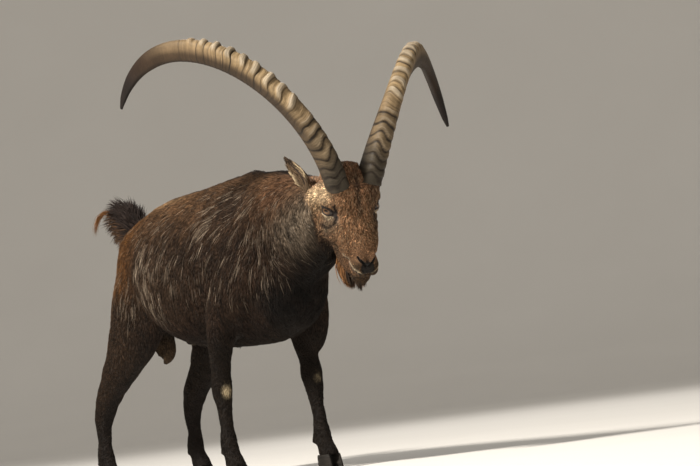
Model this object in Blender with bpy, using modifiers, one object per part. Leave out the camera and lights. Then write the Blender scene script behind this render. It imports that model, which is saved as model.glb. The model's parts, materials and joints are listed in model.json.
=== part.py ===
"""Alpine ibex, an adult male, as a still life-size model on a level floor.

Metres, +Z up. The animal faces -Y and its right side is at -X. Places are first given in the
animal's own axes: forward of the elbows, to its left, and up from the floor.
"""

import math
import random

import bmesh
import bpy
import numpy as np
from mathutils import Matrix, Vector

# Driving sizes of the animal
WITHERS_HEIGHT = 0.835
CHEST_FLOOR = 0.357
BARREL_HALF_WIDTH = 0.186
HORN_LENGTH = 0.884
HORN_HALF_SPACING = 0.048
HORN_BASE_DEPTH = 0.084
HORN_BASE_WIDTH = 0.060
EAR_LENGTH = 0.125
EAR_HALF_WIDTH = 0.0245
EYE_RADIUS = 0.0165
LID_THICKNESS = 0.0040
CLAW_HEIGHT = 0.040
CLAW_HALF_LENGTH = 0.031
GAP = 0.0003

# How the head is carried
HEAD_PLACE = (0.4606, 0.0005, 0.7514)
FACE_DROP = 84.0
HEAD_TURN = -11.3
HEAD_TILT = 2.1

# Fineness of the solids
BODY_VOXEL = 0.0068
HEAD_VOXEL = 0.0034
BODY_TRIANGLES = 4800
HEAD_TRIANGLES = 2450
RING_POINTS = 24
SEED = 11

DARK_COAT = (0.060, 0.034, 0.022)
BROWN_COAT = (0.120, 0.066, 0.038)
HORN_COLOUR = (0.300, 0.225, 0.150)
HOOF_COLOUR = (0.030, 0.026, 0.022)
EYE_COLOUR = (0.180, 0.095, 0.030)
TUFT_COLOUR = (0.022, 0.016, 0.013)
BEARD_COLOUR = (0.130, 0.060, 0.022)


def world(forward, left, up):
    """Turns a place in the animal's axes into the model's axes."""
    return Vector((left, -forward, up))


def clear_scene():
    """Removes the startup objects."""
    for thing in list(bpy.data.objects):
        bpy.data.objects.remove(thing, do_unlink=True)


def material(name, colour, roughness):
    """A plain surface of one colour."""
    made = bpy.data.materials.new(name)
    made.use_nodes = True
    shader = made.node_tree.nodes["Principled BSDF"]
    shader.inputs["Base Color"].default_value = (*colour, 1.0)
    shader.inputs["Roughness"].default_value = roughness
    shader.inputs["Metallic"].default_value = 0.0
    return made


def new_object(name, mesh, collection):
    """Puts a mesh in a collection as a named object."""
    thing = bpy.data.objects.new(name, mesh)
    collection.objects.link(thing)
    return thing


def from_bmesh(name, shape, collection):
    """Makes an object of a bmesh and frees it, with its faces turned outwards."""
    bmesh.ops.recalc_face_normals(shape, faces=shape.faces)
    mesh = bpy.data.meshes.new(name)
    shape.to_mesh(mesh)
    shape.free()
    return new_object(name, mesh, collection)


def smooth_between(stations, count):
    """Reads a smooth curve through rows of numbers, evenly by distance along the first three."""
    rows = np.array(stations, float)
    steps = np.sqrt(((rows[1:, :3] - rows[:-1, :3]) ** 2).sum(1))
    along = np.concatenate([[0.0], np.cumsum(np.maximum(steps, 1e-6))])
    slopes = np.gradient(rows, along, axis=0)
    wanted = np.linspace(0.0, along[-1], count)
    found = []
    for s in wanted:
        i = min(int(np.searchsorted(along, s, side="right")) - 1, len(rows) - 2)
        h = along[i + 1] - along[i]
        t = (s - along[i]) / h
        found.append(
            (2 * t**3 - 3 * t**2 + 1) * rows[i]
            + (t**3 - 2 * t**2 + t) * h * slopes[i]
            + (3 * t**2 - 2 * t**3) * rows[i + 1]
            + (t**3 - t**2) * h * slopes[i + 1]
        )
    return np.array(found)


def rounded(angle, power):
    """A point of a unit superellipse, 2 for a circle and more for a squarer one."""
    c, s = math.cos(angle), math.sin(angle)
    return (
        math.copysign(abs(c) ** (2.0 / power), c),
        math.copysign(abs(s) ** (2.0 / power), s),
    )


def skin_rings(name, rings, collection, start_point=None, end_point=None):
    """Joins closed rings of equal count into one closed shape, with flat or pointed ends."""
    shape = bmesh.new()
    loops = [[shape.verts.new(p) for p in ring] for ring in rings]
    count = len(loops[0])
    for lower, upper in zip(loops[:-1], loops[1:]):
        for i in range(count):
            j = (i + 1) % count
            shape.faces.new((lower[i], lower[j], upper[j], upper[i]))
    for loop, point in ((loops[0], start_point), (loops[-1], end_point)):
        if point is None:
            shape.faces.new(loop)
            continue
        tip = shape.verts.new(point)
        for i in range(count):
            shape.faces.new((loop[i], loop[(i + 1) % count], tip))
    bmesh.ops.triangulate(shape, faces=[f for f in shape.faces if len(f.verts) > 4])
    return from_bmesh(name, shape, collection)


def limb(name, stations, collection, rings=26, power=2.1, frame=None, sideways=None):
    """A rounded limb along a path of (forward, left, up, half width, half depth).

    With a frame, the first three are along, left and out in that frame.
    """
    rows = smooth_between(stations, rings)
    if frame is None:
        path = [world(*row[:3]) for row in rows]
    else:
        path = [frame @ Vector(row[:3]) for row in rows]
    sideways = sideways or Vector((1.0, 0.0, 0.0))
    made = []
    for i, row in enumerate(rows):
        ahead = (path[min(i + 1, rings - 1)] - path[max(i - 1, 0)]).normalized()
        across = (sideways - ahead * sideways.dot(ahead)).normalized()
        deep = ahead.cross(across)
        ring = []
        for k in range(RING_POINTS):
            x, y = rounded(2 * math.pi * k / RING_POINTS, power)
            ring.append(path[i] + across * x * row[3] + deep * y * row[4])
        made.append(ring)
    return skin_rings(name, made, collection)


def egg(name, centre, sizes, collection, axes=None, segments=20):
    """An ellipsoid about a point, of half sizes along the columns of axes."""
    shape = bmesh.new()
    bmesh.ops.create_uvsphere(shape, u_segments=segments, v_segments=segments * 3 // 5, radius=1.0)
    made = from_bmesh(name, shape, collection)
    axes = axes or Matrix.Identity(3)
    stretch = Matrix.Diagonal((*sizes, 1.0))
    made.data.transform(Matrix.Translation(centre) @ axes.to_4x4() @ stretch)
    return made


def body_egg(name, place, sizes, collection, lean=0.0):
    """An ellipsoid of half sizes (left, forward, up), leaning forward by an angle in degrees."""
    axes = Matrix.Rotation(math.radians(lean), 3, "X")
    return egg(name, world(*place), sizes, collection, axes)


def box_on(name, centre, normal, size, height, collection):
    """A square box standing on a plane, from the plane up to a height along its normal."""
    normal = normal.normalized()
    side = normal.orthogonal().normalized()
    other = normal.cross(side)
    axes = Matrix((side, other, normal)).transposed().to_4x4()
    shape = bmesh.new()
    bmesh.ops.create_cube(shape, size=1.0)
    made = from_bmesh(name, shape, collection)
    grow = Matrix.Diagonal((size, size, height, 1.0))
    lift = Matrix.Translation((0.0, 0.0, 0.5))
    made.data.transform(Matrix.Translation(centre) @ axes @ grow @ lift)
    return made


def settle(thing):
    """Applies every modifier of an object."""
    graph = bpy.context.evaluated_depsgraph_get()
    graph.update()
    mesh = bpy.data.meshes.new_from_object(thing.evaluated_get(graph))
    thing.modifiers.clear()
    old = thing.data
    thing.data = mesh
    bpy.data.meshes.remove(old)
    return thing


def combine(thing, tool, operation, keep=False, solver="EXACT"):
    """Joins, takes away or keeps the shared part of another solid, which is then removed."""
    change = thing.modifiers.new("shape", "BOOLEAN")
    change.operation = operation
    change.solver = solver
    change.object = tool
    settle(thing)
    if not keep:
        bpy.data.objects.remove(tool, do_unlink=True)
    return thing


def merge_objects(name, things, collection):
    """Puts several closed shapes in one mesh, overlapping as they are."""
    shape = bmesh.new()
    for thing in things:
        shape.from_mesh(thing.data)
        bpy.data.objects.remove(thing, do_unlink=True)
    mesh = bpy.data.meshes.new(name)
    shape.to_mesh(mesh)
    shape.free()
    return new_object(name, mesh, collection)


def fuse(thing, voxel, smoothing, triangles):
    """Melts overlapping shapes into one skin, smooths it and thins it to a triangle count."""
    melt = thing.modifiers.new("melt", "REMESH")
    melt.mode = "VOXEL"
    melt.voxel_size = voxel
    relax = thing.modifiers.new("relax", "SMOOTH")
    relax.factor = 0.5
    relax.iterations = smoothing
    settle(thing)
    count = sum(len(face.vertices) - 2 for face in thing.data.polygons)
    thin = thing.modifiers.new("thin", "DECIMATE")
    thin.ratio = min(1.0, triangles / count)
    thin.use_collapse_triangulate = True
    return settle(thing)


def keep_largest(thing):
    """Drops any loose crumbs, keeping the piece with the most faces."""
    shape = bmesh.new()
    shape.from_mesh(thing.data)
    unseen = set(shape.verts)
    groups = []
    while unseen:
        stack = [unseen.pop()]
        group = set(stack)
        while stack:
            for edge in stack.pop().link_edges:
                for vert in edge.verts:
                    if vert in unseen:
                        unseen.discard(vert)
                        group.add(vert)
                        stack.append(vert)
        groups.append(group)
    groups.sort(key=len)
    for group in groups[:-1]:
        bmesh.ops.delete(shape, geom=list(group), context="VERTS")
    shape.to_mesh(thing.data)
    shape.free()
    return thing


def copy_of(thing, name, collection):
    """A second object with its own copy of a mesh."""
    return new_object(name, thing.data.copy(), collection)


# Trunk: forward, top, bottom, half width, share of the height at which it is widest
TRUNK = (
    (0.186, 0.590, 0.475, 0.040, 0.50),
    (0.163, 0.665, 0.425, 0.080, 0.48),
    (0.106, 0.755, 0.384, 0.112, 0.48),
    (0.020, 0.815, CHEST_FLOOR + 0.005, 0.134, 0.50),
    (-0.060, WITHERS_HEIGHT - 0.006, CHEST_FLOOR, 0.150, 0.48),
    (-0.150, 0.826, CHEST_FLOOR + 0.002, 0.170, 0.45),
    (-0.250, 0.817, CHEST_FLOOR + 0.006, BARREL_HALF_WIDTH, 0.44),
    (-0.350, 0.813, CHEST_FLOOR + 0.016, BARREL_HALF_WIDTH + 0.002, 0.44),
    (-0.440, 0.810, CHEST_FLOOR + 0.040, 0.176, 0.46),
    (-0.520, 0.800, 0.430, 0.160, 0.50),
    (-0.585, 0.783, 0.465, 0.146, 0.50),
    (-0.640, 0.758, 0.500, 0.126, 0.50),
    (-0.685, 0.722, 0.540, 0.094, 0.50),
    (-0.710, 0.680, 0.590, 0.048, 0.50),
)
TOP_POWER = 1.75
BELLY_POWER = 2.15

NECK = (
    (-0.060, 0.000, 0.625, 0.112, 0.190),
    (0.060, 0.000, 0.648, 0.116, 0.176),
    (0.150, 0.000, 0.652, 0.112, 0.165),
    (0.230, 0.000, 0.662, 0.105, 0.139),
    (0.295, 0.000, 0.674, 0.095, 0.112),
    (0.350, 0.000, 0.688, 0.074, 0.082),
)

# Legs from the shoulder or hip down: forward, left, up, half width, half depth
NEAR_FORELEG = (
    (-0.005, -0.046, 0.670, 0.030, 0.070),
    (0.005, -0.082, 0.620, 0.044, 0.092),
    (0.005, -0.104, 0.560, 0.050, 0.096),
    (-0.050, -0.118, 0.490, 0.047, 0.076),
    (-0.094, -0.122, 0.430, 0.039, 0.055),
    (-0.118, -0.120, 0.360, 0.033, 0.042),
    (-0.136, -0.118, 0.295, 0.028, 0.031),
    (-0.142, -0.117, 0.252, 0.031, 0.034),
    (-0.142, -0.116, 0.212, 0.024, 0.027),
    (-0.140, -0.116, 0.155, 0.0195, 0.0235),
    (-0.138, -0.116, 0.100, 0.025, 0.030),
    (-0.128, -0.116, 0.070, 0.024, 0.027),
    (-0.116, -0.116, 0.045, 0.030, 0.033),
    (-0.110, -0.116, 0.028, 0.031, 0.034),
)
FAR_FORELEG = (
    (-0.005, 0.046, 0.670, 0.030, 0.070),
    (0.005, 0.082, 0.620, 0.044, 0.092),
    (0.005, 0.104, 0.560, 0.050, 0.096),
    (-0.045, 0.118, 0.500, 0.048, 0.078),
    (-0.078, 0.121, 0.440, 0.041, 0.058),
    (-0.072, 0.118, 0.365, 0.034, 0.044),
    (-0.056, 0.116, 0.305, 0.029, 0.033),
    (-0.048, 0.115, 0.262, 0.032, 0.036),
    (-0.043, 0.115, 0.218, 0.025, 0.028),
    (-0.036, 0.115, 0.158, 0.0195, 0.0235),
    (-0.032, 0.115, 0.100, 0.025, 0.030),
    (-0.020, 0.115, 0.070, 0.024, 0.027),
    (-0.008, 0.115, 0.045, 0.030, 0.033),
    (-0.002, 0.115, 0.028, 0.031, 0.034),
)
NEAR_HIND = (
    (-0.535, -0.048, 0.680, 0.042, 0.086),
    (-0.550, -0.080, 0.620, 0.062, 0.116),
    (-0.562, -0.100, 0.540, 0.064, 0.133),
    (-0.590, -0.118, 0.460, 0.054, 0.120),
    (-0.648, -0.129, 0.385, 0.043, 0.085),
    (-0.720, -0.137, 0.312, 0.035, 0.056),
    (-0.779, -0.140, 0.250, 0.031, 0.043),
    (-0.807, -0.141, 0.200, 0.026, 0.033),
    (-0.817, -0.140, 0.150, 0.0205, 0.025),
    (-0.821, -0.139, 0.100, 0.026, 0.031),
    (-0.812, -0.138, 0.070, 0.024, 0.027),
    (-0.799, -0.138, 0.045, 0.030, 0.033),
    (-0.793, -0.138, 0.028, 0.031, 0.034),
)
FAR_HIND = (
    (-0.535, 0.048, 0.680, 0.042, 0.086),
    (-0.543, 0.080, 0.620, 0.062, 0.115),
    (-0.540, 0.098, 0.540, 0.063, 0.128),
    (-0.550, 0.110, 0.455, 0.053, 0.114),
    (-0.594, 0.114, 0.378, 0.043, 0.082),
    (-0.652, 0.114, 0.308, 0.035, 0.054),
    (-0.714, 0.113, 0.248, 0.031, 0.043),
    (-0.735, 0.112, 0.197, 0.026, 0.033),
    (-0.737, 0.112, 0.147, 0.0205, 0.025),
    (-0.738, 0.112, 0.100, 0.026, 0.031),
    (-0.729, 0.112, 0.070, 0.024, 0.027),
    (-0.716, 0.112, 0.045, 0.030, 0.033),
    (-0.710, 0.112, 0.028, 0.031, 0.034),
)
LEGS = {
    "foreleg_right": NEAR_FORELEG,
    "foreleg_left": FAR_FORELEG,
    "hindleg_right": NEAR_HIND,
    "hindleg_left": FAR_HIND,
}

# Head: along the face from between the horns, front, back, half widths of brow and jaw,
# and the share of the depth at which it is widest
HEAD = (
    (-0.058, -0.062, -0.128, 0.034, 0.034, 0.50),
    (-0.042, -0.036, -0.152, 0.050, 0.046, 0.55),
    (-0.016, -0.008, -0.170, 0.061, 0.052, 0.60),
    (0.015, 0.008, -0.178, 0.066, 0.052, 0.66),
    (0.045, 0.013, -0.176, 0.067, 0.049, 0.66),
    (0.075, 0.010, -0.163, 0.063, 0.045, 0.64),
    (0.105, 0.005, -0.145, 0.053, 0.040, 0.60),
    (0.140, 0.002, -0.126, 0.043, 0.035, 0.55),
    (0.175, 0.000, -0.110, 0.036, 0.031, 0.52),
    (0.205, -0.001, -0.099, 0.033, 0.028, 0.52),
    (0.226, -0.008, -0.091, 0.031, 0.026, 0.50),
    (0.243, -0.022, -0.084, 0.026, 0.022, 0.48),
    (0.255, -0.040, -0.074, 0.014, 0.012, 0.48),
)

# Neck cuts: a place and a direction towards the head
NECK_BASE_CUT = ((0.125, 0.0, 0.65), (0.976, 0.0, 0.217))
HEAD_CUT = ((0.292, 0.0, 0.66), (0.985, 0.0, -0.170))


def head_axes():
    """The head's own frame: x along the face to the nose, y to its left, z out of the forehead."""
    drop = math.radians(FACE_DROP)
    face = world(math.cos(drop), 0.0, -math.sin(drop))
    out = world(math.sin(drop), 0.0, math.cos(drop))
    left = world(0.0, 1.0, 0.0)
    axes = Matrix((face, left, out)).transposed().to_4x4()
    return Matrix.Translation(world(*HEAD_PLACE)) @ level_head() @ axes


def level_head():
    """The head's turn to its right and its tilt, with no drop of the face."""
    heading = Matrix.Rotation(math.radians(HEAD_TURN), 4, "Z")
    tilt = Matrix.Rotation(math.radians(HEAD_TILT), 4, world(1.0, 0.0, 0.0))
    return heading @ tilt


def leaning(degrees):
    """A turn about the head's own left, by which a long form under the face follows the jaw."""
    return Matrix.Rotation(math.radians(degrees), 3, "Y")


def trunk(collection):
    """The barrel of the body, from the chest to the rump, narrow along the spine."""
    rows = smooth_between([(r[0], 0.0, 0.0, *r[1:]) for r in TRUNK], 40)
    made = []
    for forward, _, _, top, bottom, half, share in rows:
        middle = bottom + (top - bottom) * share
        ring = []
        for k in range(RING_POINTS * 2):
            angle = math.pi * k / RING_POINTS
            above = math.sin(angle) > 0
            x, y = rounded(angle, TOP_POWER if above else BELLY_POWER)
            reach = (top - middle) if above else (middle - bottom)
            ring.append(world(forward, x * half, middle + y * reach))
        made.append(ring)
    return skin_rings("trunk", made, collection)


def skull(collection):
    """The head's main form, from the nape to the nose."""
    frame = head_axes()
    rows = smooth_between([(r[0], 0.0, 0.0, *r[1:]) for r in HEAD], 48)
    made = []
    for along, _, _, top, bottom, brow, jaw, share in rows:
        middle = bottom + (top - bottom) * share
        ring = []
        for k in range(RING_POINTS * 2):
            angle = math.pi * k / RING_POINTS
            above = math.sin(angle) > 0
            x, y = rounded(angle, 2.4 if above else 2.0)
            reach = (top - middle) if above else (middle - bottom)
            half = brow + (jaw - brow) * (0.0 if above else 0.7 * abs(y) ** 1.3)
            ring.append(frame @ Vector((along, x * half, middle + y * reach)))
        made.append(ring)
    return skin_rings("skull", made, collection)


def eye_centre(side):
    """The middle of the eyeball, side being 1 for the left and -1 for the right."""
    return head_axes() @ Vector((0.0675, side * 0.0595, -0.048))


def eye_outward(side):
    """The way an eye looks."""
    return (head_axes().to_3x3() @ Vector((0.05, side * 0.80, 0.60))).normalized()


def head_forms(collection):
    """All the solids that melt into the head."""
    frame = head_axes()
    turn = frame.to_3x3()
    made = [skull(collection)]
    for side in (-1, 1):
        centre = eye_centre(side)
        socket = EYE_RADIUS + LID_THICKNESS
        made.append(egg("orbit", centre, (socket, socket, socket), collection, turn))
        ridge = frame @ Vector((0.044, side * 0.057, -0.040))
        made.append(egg("brow", ridge, (0.033, 0.027, 0.031), collection, turn))
        temple = frame @ Vector((0.020, side * 0.056, -0.076))
        made.append(egg("temple", temple, (0.040, 0.028, 0.045), collection, turn))
        cheek = frame @ Vector((0.098, side * 0.042, -0.074))
        made.append(egg("cheek", cheek, (0.056, 0.033, 0.046), collection, turn))
        snout = frame @ Vector((0.130, side * 0.032, -0.046))
        made.append(egg("snout", snout, (0.070, 0.026, 0.036), collection, turn))
        jaw = frame @ Vector((0.162, side * 0.019, -0.096))
        made.append(egg("jaw", jaw, (0.078, 0.030, 0.029), collection, turn @ leaning(-19.0)))
        lip = frame @ Vector((0.218, side * 0.0175, -0.036))
        made.append(egg("lip", lip, (0.038, 0.0200, 0.029), collection, turn))
        wing = frame @ Vector((0.208, side * 0.0125, -0.015))
        made.append(egg("wing", wing, (0.026, 0.0175, 0.017), collection, turn))
        root = frame @ Vector((EAR_ROOT[0] - 0.004, side * (EAR_ROOT[1] - 0.004), EAR_ROOT[2] + 0.004))
        made.append(egg("ear_seat", root, (0.026, 0.020, 0.026), collection, turn))
        made.append(horn_stump(side, collection))
    chin = frame @ Vector((0.236, 0.0, -0.072))
    made.append(egg("chin", chin, (0.033, 0.028, 0.026), collection, turn @ leaning(-14.0)))
    made.append(egg("crown", frame @ Vector((-0.022, 0, -0.03)), (0.03, 0.055, 0.04), collection, turn))
    return made


# Horns: share of the length, depth and width as shares of those at the base
HORN_GIRTH = (
    (0.00, 1.000, 1.000),
    (0.10, 0.955, 0.970),
    (0.25, 0.860, 0.900),
    (0.45, 0.775, 0.800),
    (0.65, 0.690, 0.670),
    (0.80, 0.600, 0.540),
    (0.90, 0.460, 0.400),
    (0.97, 0.280, 0.240),
    (1.00, 0.110, 0.110),
)
HORN_WAVES = (0.035, 0.070, 0.104, 0.138, 0.170, 0.204)
HORN_KNOBS = (0.268, 0.310, 0.356, 0.404, 0.446, 0.492, 0.540, 0.582, 0.625)
WAVE_HEIGHT = 0.0035
KNOB_HEIGHT = 0.0095
KNOB_HALF_LENGTH = 0.0085
HORN_RING_POINTS = 14


def horn_angles(side):
    """Angles that rule a horn: start, turn, power, spread, length; the left one curls more."""
    if side < 0:
        return 113.4, -60.7, 1.263, 0.0
    return 107.1, -94.1, 1.263, -0.079


def horn_path(side, count):
    """Places, directions and fronts along one horn from its base."""
    start, end, power, shorter = horn_angles(side)
    frame = level_head().to_3x3()
    length = HORN_LENGTH + shorter
    fine = 400
    place = world(*HEAD_PLACE) + frame @ world(0.0, side * HORN_HALF_SPACING, 0.0)
    places = []
    directions = []
    for i in range(fine + 1):
        s = i / fine
        rise = math.radians(start + (end - start) * s**power)
        spread = math.radians(17.3 + 84.9 * s - 93.3 * s * s)
        flat = math.cos(spread)
        ahead = frame @ world(-flat * math.cos(rise), side * math.sin(spread), flat * math.sin(rise))
        if i:
            place = place + (ahead + directions[-1]) * 0.5 * length / fine
        places.append(place.copy())
        directions.append(ahead)
    sideways = frame @ world(0.0, side, 0.0)
    picked = []
    for s in count:
        i = min(fine, int(round(s * fine)))
        ahead = directions[i]
        out = (sideways - ahead * sideways.dot(ahead)).normalized()
        front = out.cross(ahead) * (1.0 if side > 0 else -1.0)
        picked.append((places[i], ahead, front, out))
    return picked


def horn_girth(s):
    """Half depth and half width at a share of the length."""
    shares = [row[0] for row in HORN_GIRTH]
    depth = np.interp(s, shares, [row[1] for row in HORN_GIRTH])
    width = np.interp(s, shares, [row[2] for row in HORN_GIRTH])
    return HORN_BASE_DEPTH / 2 * depth, HORN_BASE_WIDTH / 2 * width


def horn_outline(place, front, out, deep, wide, swell, points):
    """A section of a horn: a broad flat front, round sides and a narrower back."""
    ring = []
    for k in range(points):
        angle = 2 * math.pi * k / points
        x, y = rounded(angle, 2.7)
        narrowing = 1.0 - 0.26 * (0.5 - 0.5 * y) ** 1.2
        facing = max(0.0, y) ** 1.5
        lift = swell * facing
        ring.append(place + out * x * narrowing * (wide + 0.35 * lift) + front * (y * deep + lift))
    return ring


def horn_stations():
    """Shares of the length at which a horn has a section, with the swelling at each."""
    found = {0.0: 0.0, 0.018: 0.0}
    step = KNOB_HALF_LENGTH / HORN_LENGTH
    for s in HORN_WAVES:
        found[s - 0.015] = 0.0
        found[s] = WAVE_HEIGHT
    for n, s in enumerate(HORN_KNOBS):
        size = KNOB_HEIGHT * (0.75, 0.8, 1.0, 0.9, 0.8, 1.0, 0.85, 0.6, 0.35)[n]
        found[s - step * 1.35] = 0.0
        found[s - step * 0.35] = size
        found[s + step * 0.55] = size * 0.92
        found[s + step * 1.20] = 0.0
    for s in (0.230, 0.66, 0.70, 0.74, 0.78, 0.82, 0.86, 0.90, 0.935, 0.965, 0.987):
        found[s] = 0.0
    return sorted(found.items())


def horn(side, collection):
    """One horn with its growth waves and knobs."""
    stations = horn_stations()
    shares = [s for s, _ in stations]
    rings = []
    for (s, swell), (place, ahead, front, out) in zip(stations, horn_path(side, shares)):
        deep, wide = horn_girth(s)
        rings.append(horn_outline(place, front, out, deep, wide, swell, HORN_RING_POINTS))
    tip = horn_path(side, [1.0])[0][0]
    return skin_rings("horn", rings, collection, end_point=tip)


def horn_stump(side, collection):
    """The short seat of a horn on the forehead, a little past the horn's base."""
    place, ahead, front, out = horn_path(side, [0.0])[0]
    deep, wide = horn_girth(0.0)
    rings = []
    for back, grow in ((-0.055, 0.90), (-0.030, 1.02), (0.012, 1.08)):
        middle = place + ahead * back
        rings.append(horn_outline(middle, front, out, deep * grow, wide * grow, 0.0, HORN_RING_POINTS))
    return skin_rings("stump", rings, collection)


EAR_ROOT = (0.008, 0.056, -0.098)


def horn_knife(side, collection):
    """A prism a little wider than a horn's seat, that levels the seat just below the horn."""
    place, ahead, front, out = horn_path(side, [0.0])[0]
    deep, wide = horn_girth(0.0)
    rings = []
    for up in (-GAP, 0.045):
        middle = place + ahead * up
        rings.append(horn_outline(middle, front, out, deep * 1.16, wide * 1.16, 0.0, HORN_RING_POINTS))
    return skin_rings("knife", rings, collection)


def ear_axis(side):
    """The way an ear points, up, back and outwards."""
    lean = 0.064 if side > 0 else 0.062
    return (level_head().to_3x3() @ world(-0.042, side * lean, 0.090)).normalized()


def ear(side, collection):
    """A leaf-shaped cup on a short stalk."""
    frame = head_axes()
    root = frame @ Vector(EAR_ROOT[:1] + (side * EAR_ROOT[1],) + EAR_ROOT[2:])
    axis = ear_axis(side)
    looks = level_head().to_3x3() @ world(0.55, side * 0.80, -0.05)
    looks = (looks - axis * looks.dot(axis)).normalized()
    across = axis.cross(looks)
    profile = (
        (-0.010, 0.45, 0.0110, 0.0),
        (0.016, 0.48, 0.0105, 0.05),
        (0.030, 0.68, 0.0090, 0.45),
        (0.050, 0.95, 0.0065, 0.95),
        (0.070, 1.00, 0.0048, 1.00),
        (0.090, 0.86, 0.0038, 0.85),
        (0.107, 0.56, 0.0030, 0.55),
        (EAR_LENGTH, 0.22, 0.0020, 0.10),
    )
    rows = smooth_between([(r[0], 0.0, 0.0, *r[1:]) for r in profile], 14)
    rings = []
    for up, _, _, width, thick, cup in rows:
        half = EAR_HALF_WIDTH * width
        bend = 0.0105 * cup
        middle = root + axis * up - axis.cross(across) * 0.0
        ring = []
        steps = 8
        for k in range(steps):
            u = -1.0 + 2.0 * k / (steps - 1)
            sag = -bend * (1.0 - u * u) * 1.35
            rim = thick * math.sqrt(max(0.0, 1.0 - (u * 0.93) ** 2))
            ring.append(middle + across * u * half + looks * (sag + rim))
        for k in range(steps):
            u = 1.0 - 2.0 * k / (steps - 1)
            sag = -bend * (1.0 - u * u) * 1.35
            rim = thick * math.sqrt(max(0.0, 1.0 - (u * 0.93) ** 2))
            ring.append(middle + across * u * half * 1.02 + looks * (sag - rim))
        rings.append(ring)
    return skin_rings("ear", rings, collection)


def ear_seat(side):
    """Where an ear's root is cut, and the ear's direction."""
    frame = head_axes()
    root = frame @ Vector(EAR_ROOT[:1] + (side * EAR_ROOT[1],) + EAR_ROOT[2:])
    axis = ear_axis(side)
    return root + axis * 0.019, axis


def almond(side, collection):
    """The opening between an eye's lids, as a solid that runs outwards from the eyeball."""
    turn = head_axes().to_3x3()
    out = eye_outward(side)
    # the slit runs from the inner corner, near the nose, up to the outer corner
    slit = (turn @ Vector((0.60, side * -0.50, 0.62))).normalized()
    slit = (slit - out * slit.dot(out)).normalized()
    upright = out.cross(slit)
    if upright.dot(turn @ Vector((-1.0, 0.0, 0.3))) < 0:
        upright = -upright
    rings = []
    for reach, grow in ((0.004, 0.86), (0.014, 0.98), (0.040, 1.35)):
        middle = eye_centre(side) + out * reach
        ring = []
        for k in range(16):
            angle = 2 * math.pi * k / 16
            x = math.cos(angle)
            y = math.sin(angle)
            high = (0.0062 if y > 0 else 0.0070) * (1.0 - 0.35 * x * x)
            ring.append(middle + slit * x * 0.0145 * grow + upright * y * high * grow)
        rings.append(ring)
    return skin_rings("almond", rings, collection)


def mouth_line(collection):
    """A thin curved wedge along the line of the mouth, from corner to corner."""
    frame = head_axes()
    half = (
        (0.258, 0.000, -0.036),
        (0.250, 0.016, -0.038),
        (0.234, 0.028, -0.047),
        (0.212, 0.035, -0.061),
        (0.190, 0.038, -0.077),
    )
    places = [(a, -b, c) for a, b, c in reversed(half[1:])] + list(half)
    rows = smooth_between(places, 17)
    rings = []
    for i, row in enumerate(rows):
        here = Vector(row)
        hub = Vector((here.x - 0.028, 0.0, here.z - 0.004))
        spoke = (here - hub).normalized()
        step = Vector(rows[min(i + 1, 16)]) - Vector(rows[max(i - 1, 0)])
        thin = spoke.cross(step).normalized() * 0.0011
        edge = 1.0 - abs(i - 8) / 8.0
        inner = here - spoke * (0.0035 + 0.0035 * edge)
        outer = here + spoke * 0.012
        ring = [inner - thin * 0.5, outer - thin * 2.2, outer + thin * 2.2, inner + thin * 0.5]
        rings.append([frame @ p for p in ring])
    return skin_rings("mouth", rings, collection)


def nostril(side, collection):
    """A comma-shaped hollow that runs up and back into the nose."""
    stations = (
        (0.2290, side * 0.0080, 0.0060, 0.0016, 0.0022),
        (0.2230, side * 0.0115, -0.0020, 0.0026, 0.0040),
        (0.2150, side * 0.0150, -0.0080, 0.0026, 0.0038),
        (0.2060, side * 0.0165, -0.0125, 0.0018, 0.0024),
    )
    frame = head_axes()
    side_way = frame.to_3x3() @ Vector((0.5, side * 0.86, 0.0))
    return limb("nostril", stations, collection, 8, 2.0, frame, side_way)


TAIL_CORE = (
    (-0.655, 0.0, 0.690, 0.024, 0.024),
    (-0.700, 0.0, 0.714, 0.022, 0.021),
    (-0.734, 0.0, 0.738, 0.020, 0.019),
    (-0.760, 0.0, 0.762, 0.017, 0.016),
    (-0.780, 0.0, 0.786, 0.010, 0.010),
)
TAIL_CUT = ((-0.712, 0.0, 0.7215), (-0.80, 0.0, 0.60))


def lock(name, root, direction, bend, length, width, thick, flat, collection):
    """A flat tapered lock of hair that starts sunk in its root and curves as it goes."""
    direction = direction.normalized()
    rings = []
    steps = 4
    place = root - direction * length * 0.12
    heading = direction
    for i in range(steps):
        t = i / steps
        across = heading.cross(flat)
        if across.length < 1e-4:
            across = heading.orthogonal()
        across.normalize()
        up = across.cross(heading).normalized()
        wide = width * (0.70 + 0.60 * math.sin(math.pi * min(1.0, t * 1.15 + 0.15))) * (1.0 - 0.45 * t)
        high = thick * (1.0 - 0.5 * t)
        ring = []
        for k in range(5):
            angle = 2 * math.pi * k / 5
            ring.append(place + across * wide * math.cos(angle) + up * high * math.sin(angle))
        rings.append(ring)
        place = place + heading * length * 1.12 / steps
        heading = (heading + bend / steps).normalized()
    return skin_rings(name, rings, collection, end_point=place)


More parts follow.
